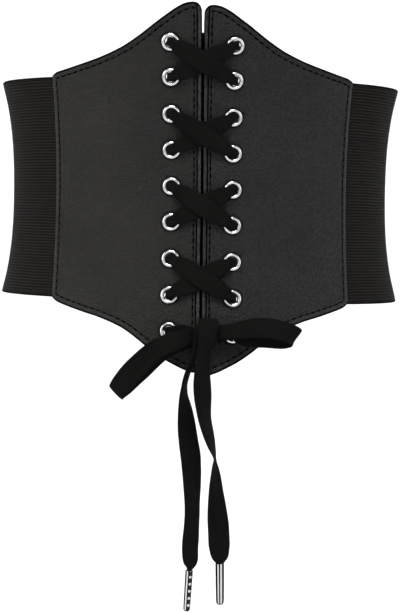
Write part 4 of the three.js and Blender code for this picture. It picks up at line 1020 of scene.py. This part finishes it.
def panel(side, mats):
    word = "left" if side < 0 else "right"
    near = [0, 0.1, 0.25, 0.45, 0.7, 1.0, 1.4, 1.8, 2.1, 2.25, 2.38, 2.5, 2.58, 2.65, 2.72, 2.82, 3.0, 3.3, 3.65, 3.9, 4.1, 4.25,
            4.4, 4.55, 4.7, 4.95, 5.4, 6.2]
    far = [81.6, 82.5, 82.95, 83.25, 83.5, 83.75, 84.05, 84.5, 85.0, 85.35, 85.6, 85.78, 85.92, 86.0]
    cols = np.array(near + list(np.arange(7.6, 80.9, 1.6)) + far)
    u = cols / PANEL_WIDTH
    top, bottom = panel_top(u), panel_bottom(u)
    x_front = 0.4 + u * (OUTLINE_SIDE - 0.4)
    h = 0.4
    lean_t = 1 / np.sqrt(1 + ((outline_top(x_front + h) - outline_top(x_front - h)) / (2 * h)) ** 2)
    lean_b = 1 / np.sqrt(1 + ((outline_bottom(x_front + h) - outline_bottom(x_front - h)) / (2 * h)) ** 2)
    lean_t, lean_b = np.maximum(lean_t, 0.6), np.maximum(lean_b, 0.6)
    ins = np.array([0, 0.1, 0.25, 0.45, 0.75, 1.1, 1.6, 2.2, 2.7, 3.05, 3.3, 3.5, 3.7, 3.9, 4.15, 4.6, 5.4, 6.6])
    ninner = 112
    rows = len(ins) * 2 + ninner
    nu = len(cols)
    z = np.empty((nu, rows))
    e = np.empty((nu, rows))
    for c in range(nu):
        zb = bottom[c] + ins / lean_b[c]
        zt = (top[c] - ins / lean_t[c])[::-1]
        mid = np.linspace(zb[-1], zt[0], ninner + 2)[1:-1]
        z[c] = np.concatenate([zb, mid, zt])
        e[c] = np.concatenate([ins, np.minimum(99, 6.6 + 0 * mid), ins[::-1]])
    d = np.repeat(cols[:, None], rows, 1)
    s = PANEL_WIDTH - d                      # distance from the side edge
    r = 0.85                                 # turned edges are round
    edge = np.minimum(e, s)
    rnd = np.where(edge < r, r - np.sqrt(np.maximum(0, r * r - (r - edge) ** 2)), 0.0)
    outer = roll_outer(d) - rnd * 0.95
    inner = roll_inner(d, side) + np.where(d > 2.0, rnd * 0.9, rnd * 0.3)
    # stitch channels and the slightly full rim outside them
    g = np.zeros_like(outer)
    in_len = (d > STITCH_IN["centre"] - 0.6) & (s > STITCH_IN["side"] - 0.6)
    g += np.where(in_len, 0.30 * np.exp(-((e - STITCH_IN["edge"]) / 0.42) ** 2), 0)
    in_h = e > STITCH_IN["edge"] - 0.6
    g += np.where(in_h, 0.26 * np.exp(-((s - STITCH_IN["side"]) / 0.40) ** 2), 0)
    g += np.where(in_h, 0.26 * np.exp(-((d - STITCH_IN["centre"]) / 0.36) ** 2), 0)
    g = np.minimum(g, 0.34)
    full = 0.10 * np.exp(-((e - 2.0) / 0.9) ** 2) + 0.10 * np.exp(-((s - 1.5) / 0.7) ** 2)
    outer = outer - g + np.where(edge > 0.5, full, 0)
    uu = np.repeat(u[:, None], rows, 1)
    # the leather lies very slightly uneven
    rng = np.random.default_rng(31 + side)
    wav = np.zeros_like(outer)
    for _ in range(9):
        kx, kz, ph = rng.uniform(-0.11, 0.11), rng.uniform(-0.06, 0.06), rng.uniform(0, 6.28)
        wav += np.sin(kx * d + kz * z + ph)
    fade = np.clip((np.minimum(edge, d) - 5.0) / 8.0, 0, 1)
    outer = outer + 0.045 * wav * fade
    po = panel_point(side, uu, z, outer)
    pi = panel_point(side, uu, z, inner)
    grid = po
    from_top = np.zeros_like(z)
    from_top[:, rows // 2:] = 1
    if side < 0:
        # the inner layer runs on under the other panel's edge
        zc = z[0]
        f = (zc - zc[0]) / (zc[-1] - zc[0])
        t = np.array(TONGUE_LENGTH)
        reach = (2 * opening(zc) + TONGUE_REACH) * np.interp(f, t[:, 0], t[:, 1])
        for share in (0.02, 0.35, 0.7, 1.0):
            x = centre_x(zc) - opening(zc) + share * reach
            ang = np.arcsin(x / half_width(zc + PANEL_SLIP))
            round_off = 0.0 if share < 1 else 0.15
            po = np.concatenate([on_body(ang, zc + PANEL_SLIP, np.full_like(zc, TONGUE[0] - round_off))[None], po])
            pi = np.concatenate([on_body(ang, zc + PANEL_SLIP, np.full_like(zc, TONGUE[1] + round_off))[None], pi])
            d = np.concatenate([-share * reach[None], d])
            z = np.concatenate([zc[None], z])
            e, s, from_top = (np.concatenate([g[:1], g]) for g in (e, s, from_top))
    obj = wall_mesh(f"panel_{word}_sewn", po, pi, d * MM, z * MM, side < 0)
    paint(obj, *mats)

    def cell(g):
        return 0.25 * (g[:-1, :-1] + g[1:, :-1] + g[:-1, 1:] + g[1:, 1:])

    # 0 leather, 1 near-black edges, with painted shade in the creases and on the centre edge, 2 bead along the centre,
    # painted lighter as a highlight, 3 rim outside the seam, painted lighter as a highlight
    ce, cs, cd, ct = cell(e), cell(s), cell(d), cell(from_top)
    kind = np.zeros(ce.shape, int)
    # the rim outside the seam on the bottom and side edges, painted lighter as a highlight
    kind[(ce > 0.95) & (ce < 2.9) & (ct < 0.5)] = 3
    kind[(cs > 0.2) & (cs < 1.9)] = 3
    # the bead along the centre, painted lighter as a highlight
    kind[(cd > 0.45) & (cd < 2.3) & (ce > 0.95)] = 2
    # painted shade in the crease beside the bead and on the centre edge and tongue; the top and bottom edges near
    # black
    kind[(cd > 2.3) & (cd < 2.95) & (ce > 0.95)] = 1
    kind[(cd < 0.45) | (ce < 0.95)] = 1
    kinds = np.concatenate([kind.ravel(), np.zeros(kind.size, int)])
    total = len(obj.data.polygons)
    kinds = np.concatenate([kinds, np.ones(total - len(kinds), int)])
    obj.data.polygons.foreach_set("material_index", kinds.astype(np.int32))
    # holes for the eyelets
    cutters = []
    for i in range(9):
        zz = EYELET_ROWS[i][0] - side * PANEL_SLIP
        x = float(centre_x(zz) + side * EYELET_ROWS[i][1])
        p, across, upv, out = body_frame(math.asin(x / float(half_width(zz))), zz)
        cutters.append((p, across, upv, out))
    verts, faces = [], []
    ns = 40
    for p, across, upv, out in cutters:
        b = len(verts)
        for k in range(ns):
            a = 2 * math.pi * (k + 0.5) / ns
            rim = across * (3.95 * math.cos(a)) + upv * (3.95 * math.sin(a))
            verts.append(p + rim - out * 3)
            verts.append(p + rim + out * 6)
        for k in range(ns):
            q = (k + 1) % ns
            faces.append([b + 2 * k, b + 2 * q, b + 2 * q + 1, b + 2 * k + 1])
        faces.append([b + 2 * k for k in range(ns)][::-1])
        faces.append([b + 2 * k + 1 for k in range(ns)])
    cut = new_object(f"cut_{word}", verts, faces, smooth=False)
    mod = obj.modifiers.new("holes", "BOOLEAN")
    mod.operation = "DIFFERENCE"
    mod.solver = "EXACT"
    mod.object = cut
    dg = bpy.context.evaluated_depsgraph_get()
    mesh = bpy.data.meshes.new_from_object(obj.evaluated_get(dg))
    obj.modifiers.clear()
    old = obj.data
    obj.data = mesh
    bpy.data.meshes.remove(old)
    bpy.data.objects.remove(cut, do_unlink=True)
    mesh.polygons.foreach_set("use_smooth", [True] * len(mesh.polygons))
    return obj, grid


def stitch_path(side):
    """The seam line of a panel, as dense (u, z) points, round from the centre top."""
    uc, us = STITCH_IN["centre"] / PANEL_WIDTH, 1 - STITCH_IN["side"] / PANEL_WIDTH

    def inset(u, which):
        x = 0.4 + u * (OUTLINE_SIDE - 0.4)
        f = outline_top if which > 0 else outline_bottom
        lean = np.maximum(1 / np.sqrt(1 + ((f(x + 0.4) - f(x - 0.4)) / 0.8) ** 2), 0.6)
        return f(x) - which * STITCH_IN["edge"] / lean

    u = np.linspace(uc, us, 700)
    topl = np.stack([u, inset(u, 1)], 1)
    botl = np.stack([u[::-1], inset(u[::-1], -1)], 1)
    zs = np.linspace(topl[-1, 1], botl[0, 1], 900)
    sidel = np.stack([np.full_like(zs, us), zs], 1)
    zc = np.linspace(botl[-1, 1], topl[0, 1], 1200)
    cen = np.stack([np.full_like(zc, uc), zc], 1)
    return np.concatenate([topl, sidel[1:], botl[1:], cen[1:]])


def stitches(side):
    """Lock stitches: a rounded thread between two needle holes, in the seam channel."""
    word = "left" if side < 0 else "right"
    uz = stitch_path(side)
    p = panel_point(side, uz[:, 0], uz[:, 1], 1.80)
    nrm = unit(panel_point(side, uz[:, 0], uz[:, 1], 2.8) - p)
    arc = np.concatenate([[0], np.cumsum(np.linalg.norm(np.diff(p, axis=0), axis=1))])
    total = arc[-1]
    count = int(total // STITCH_PITCH)
    pitch = total / count
    verts, faces, mats = [], [], []
    rng = np.random.default_rng(5 + side)

    def at(s):
        s = s % total
        q = np.array([np.interp(s, arc, p[:, k]) for k in range(3)])
        n = unit(np.array([np.interp(s, arc, nrm[:, k]) for k in range(3)]))
        return q, n

    for c in range(count):
        s0 = c * pitch
        jig = rng.normal(0, 0.03)
        ends = (s0 + 1.25 + jig, s0 + pitch - 1.25 + jig)
        ring = 8
        steps = 9
        base = len(verts)
        for k in range(steps):
            f = k / (steps - 1)
            s = ends[0] + (ends[1] - ends[0]) * f
            q, n = at(s)
            q2, _ = at(s + 0.2)
            t = unit(q2 - q)
            b = np.cross(n, t)
            lift = 0.30 * math.sin(math.pi * f) ** 0.6 - 0.22
            rad = 0.30 * (0.55 + 0.45 * math.sin(math.pi * f) ** 0.5)
            for g in range(ring):
                a = 2 * math.pi * g / ring
                verts.append(q + n * (lift + rad * 0.75 * math.sin(a)) + b * (rad * math.cos(a)))
        for k in range(steps - 1):
            for g in range(ring):
                h = (g + 1) % ring
                faces.append((base + k * ring + g, base + (k + 1) * ring + g, base + (k + 1) * ring + h, base + k * ring + h))
                mats.append(0)
        faces.append(tuple(base + g for g in range(ring)))
        faces.append(tuple(base + (steps - 1) * ring + g for g in range(ring))[::-1])
        mats += [0, 0]
        # needle hole: a dark oval slit that follows the bottom of the seam channel, painted near black as the shade in
        # the hole
        q, n = at(s0)
        q2, _ = at(s0 + 0.2)
        t = unit(q2 - q)
        b = np.cross(n, t)
        k0 = int(np.argmin(np.abs(arc - (s0 % total))))
        deep, wide = (0.30, 0.42) if k0 < 699 or 1598 <= k0 < 2297 else ((0.26, 0.40) if k0 < 1598 else (0.26, 0.36))
        base = len(verts)
        m1, m2 = 7, 5
        long_, half = 1.38 + rng.normal(0, 0.08), 0.44
        for u_ in range(m1):
            f = -1 + 2 * u_ / (m1 - 1)
            taper = max(0.12, math.sqrt(max(0.0, 1 - f ** 4)))
            for v_ in range(m2):
                g = (-1 + 2 * v_ / (m2 - 1)) * half * taper
                lift = 0.2 - deep * math.exp(-(g / wide) ** 2) + 0.07 - 0.05 * abs(f) ** 6
                verts.append(q + t * (f * long_) + b * g + n * lift)
        for u_ in range(m1 - 1):
            for v_ in range(m2 - 1):
                faces.append((base + u_ * m2 + v_, base + (u_ + 1) * m2 + v_, base + (u_ + 1) * m2 + v_ + 1, base + u_ * m2 + v_ + 1))
                mats.append(1)
    obj = new_object(f"stitching_{word}", verts, faces)
    paint(obj, MAT_THREAD, MAT_HOLE_SHADE)
    obj.data.polygons.foreach_set("material_index", mats)
    place(obj, "panel_leather")
    return obj


def sheet_area(points):
    a = points[1:, :-1] - points[:-1, :-1]
    b = points[:-1, 1:] - points[:-1, :-1]
    c = points[1:, 1:] - points[1:, :-1]
    e = points[1:, 1:] - points[:-1, 1:]
    return 0.5 * (np.linalg.norm(np.cross(a, b), axis=-1).sum() + np.linalg.norm(np.cross(c, e), axis=-1).sum()) * MM * MM


for side, mats in ((-1, (MAT_LEATHER_L, MAT_DARK_EDGE_AND_CREASE_SHADE_L, MAT_BEAD_HIGHLIGHT_L, MAT_RIM_HIGHLIGHT_L)), (1, (MAT_LEATHER_R, MAT_DARK_EDGE_AND_CREASE_SHADE_R, MAT_BEAD_HIGHLIGHT_R, MAT_RIM_HIGHLIGHT_R))):
    word = "left" if side < 0 else "right"
    obj, grid = panel(side, mats)
    place(obj, "panel_leather", f"panel_{word}")
    seam = stitches(side)


# ------------------------------------------------------------------ ribbed elastic
def elastic():
    start = math.radians(ELASTIC_START_DEG)
    na = 144
    ang = np.linspace(start, 2 * math.pi - start, na)
    height = ELASTIC_TOP - ELASTIC_BOTTOM
    ribs = round(height / RIB_PITCH)
    per = 4
    rows = ribs * per + 1
    f = np.linspace(0, 1, rows)
    A, Fz = np.meshgrid(ang, f, indexing="ij")
    z = ELASTIC_BOTTOM + height * Fz - (ELASTIC_TILT_BOTTOM + (ELASTIC_TILT - ELASTIC_TILT_BOTTOM) * Fz) * np.sin(A)
    # the ribs run with the band, and the selvedge is thinner
    wave = np.cos(2 * math.pi * ribs * (Fz - 0.5 / ribs))
    edge = np.minimum(Fz, 1 - Fz) * height
    thin = np.where(edge < 0.5, 0.5 - edge, 0)
    out_off = -ELASTIC_RECESS - 0.10 + 0.20 * wave - 0.9 * thin
    in_off = -ELASTIC_RECESS - ELASTIC_THICKNESS + 0.10 - 0.16 * wave + 0.9 * thin
    po = on_body(A, z, out_off)
    keep = np.arange(0, rows)
    pi = on_body(A, z, in_off)
    flat = on_body(ang, np.zeros_like(ang), np.full_like(ang, -1.0))
    arc = np.concatenate([[0], np.cumsum(np.linalg.norm(np.diff(flat, axis=0), axis=1))])
    obj = wall_mesh("elastic_band_ribbed", po, pi, np.repeat(arc[:, None], rows, 1) * MM,
                    (Fz * ribs * RIB_PITCH - 0.5 * RIB_PITCH) * MM, False)
    paint(obj, MAT_ELASTIC, MAT_SELVEDGE)
    near = 0.25 * (edge[:-1, :-1] + edge[1:, :-1] + edge[:-1, 1:] + edge[1:, 1:])
    kinds = np.concatenate([(near < 0.8).ravel().astype(int)] * 2)
    kinds = np.concatenate([kinds, np.ones(len(obj.data.polygons) - len(kinds), int)])
    obj.data.polygons.foreach_set("material_index", kinds.astype(np.int32))
    return obj, float(arc[-1]) * MM, float(sheet_area(po[:, ::per]))


band, band_len, band_area = elastic()
place(band, "ribbed_elastic", "elastic_band")

# ------------------------------------------------------------------ floor and light
floor_mat = Nodes("studio_paper")
co = floor_mat.add("ShaderNodeTexCoord").outputs["Object"]
grainy = floor_mat.noise(co, 90.0, 3.0)
floor_mat.link(floor_mat.ramp(grainy, [(0.3, (0.90, 0.90, 0.90)), (0.7, (0.92, 0.92, 0.92))]), floor_mat.bsdf.inputs["Base Color"])
floor_mat.bsdf.inputs["Roughness"].default_value = 0.9
floor_mat.bsdf.inputs["Specular IOR Level"].default_value = 0.1


def sweep_floor():
    """Pale paper floor that curves up into a round backdrop on every side."""
    prof = [(0.0, -420.0), (900.0, -420.0), (2500.0, -420.0)]
    for k in range(1, 13):
        a = math.radians(90 * k / 12)
        prof.append((2500.0 + 900 * math.sin(a), -420.0 + 900 * (1 - math.cos(a))))
    prof += [(3400.0, 1500.0), (3400.0, 3000.0)]
    count = 64
    verts = [(0.0, 0.0, -420.0)]
    for r, z in prof[1:]:
        verts += [(r * math.sin(2 * math.pi * g / count), -r * math.cos(2 * math.pi * g / count), z) for g in range(count)]
    faces = [(0, 1 + g, 1 + (g + 1) % count) for g in range(count)]
    for k in range(len(prof) - 2):
        for g in range(count):
            h = (g + 1) % count
            faces.append((1 + k * count + g, 1 + (k + 1) * count + g, 1 + (k + 1) * count + h, 1 + k * count + h))
    obj = new_object("floor", verts, faces)
    obj.data.polygons.foreach_set("use_smooth", [True] * len(obj.data.polygons))
    paint(obj, floor_mat.mat)
    return obj


floor = sweep_floor()

world = bpy.data.worlds.new("studio")
bpy.context.scene.world = world
world.use_nodes = True
bg = world.node_tree.nodes["Background"]
bg.inputs[0].default_value = (1.0, 1.0, 1.0, 1)
bg.inputs[1].default_value = 0.08


def softbox(name, at, look, size, power, colour=(1, 1, 1)):
    data = bpy.data.lights.new(name, "AREA")
    data.shape = "RECTANGLE"
    data.size, data.size_y = size
    data.energy = power
    data.color = colour
    obj = bpy.data.objects.new(name, data)
    obj.location = at
    d = Vector(look) - Vector(at)
    obj.rotation_euler = d.to_track_quat("-Z", "Y").to_euler()
    bpy.context.scene.collection.objects.link(obj)
    return obj


softbox("key_top", (-0.10, -1.15, 1.45), (0, 0, -0.02), (0.9, 0.6), 25)
softbox("key_left", (-1.55, -1.00, 0.55), (0, 0, -0.02), (0.8, 1.2), 10.5, (1.0, 0.975, 0.94))
softbox("key_right", (1.55, -1.00, 0.55), (0, 0, -0.02), (0.8, 1.2), 5.5, (0.965, 0.98, 1.0))
softbox("side_left", (-1.9, 1.2, 0.6), (0, 0, -0.02), (1.0, 1.0), 4)
softbox("side_right", (1.9, 1.2, 0.6), (0, 0, -0.02), (1.0, 1.0), 3)
softbox("back_wash", (0, 1.7, 2.3), (0, 3.4, 0.1), (2.8, 0.9), 37)
softbox("floor_wash", (0, 0.9, 1.5), (0, 2.3, -0.42), (2.6, 1.2), 21)
softbox("front_wash", (0, -1.9, 2.3), (0, -3.4, 0.2), (2.8, 0.9), 8)

bpy.context.scene.view_settings.view_transform = "Standard"
bpy.context.scene.view_settings.look = "None"
bpy.context.scene.view_settings.exposure = 0.0
bpy.context.scene.view_settings.gamma = 1.0
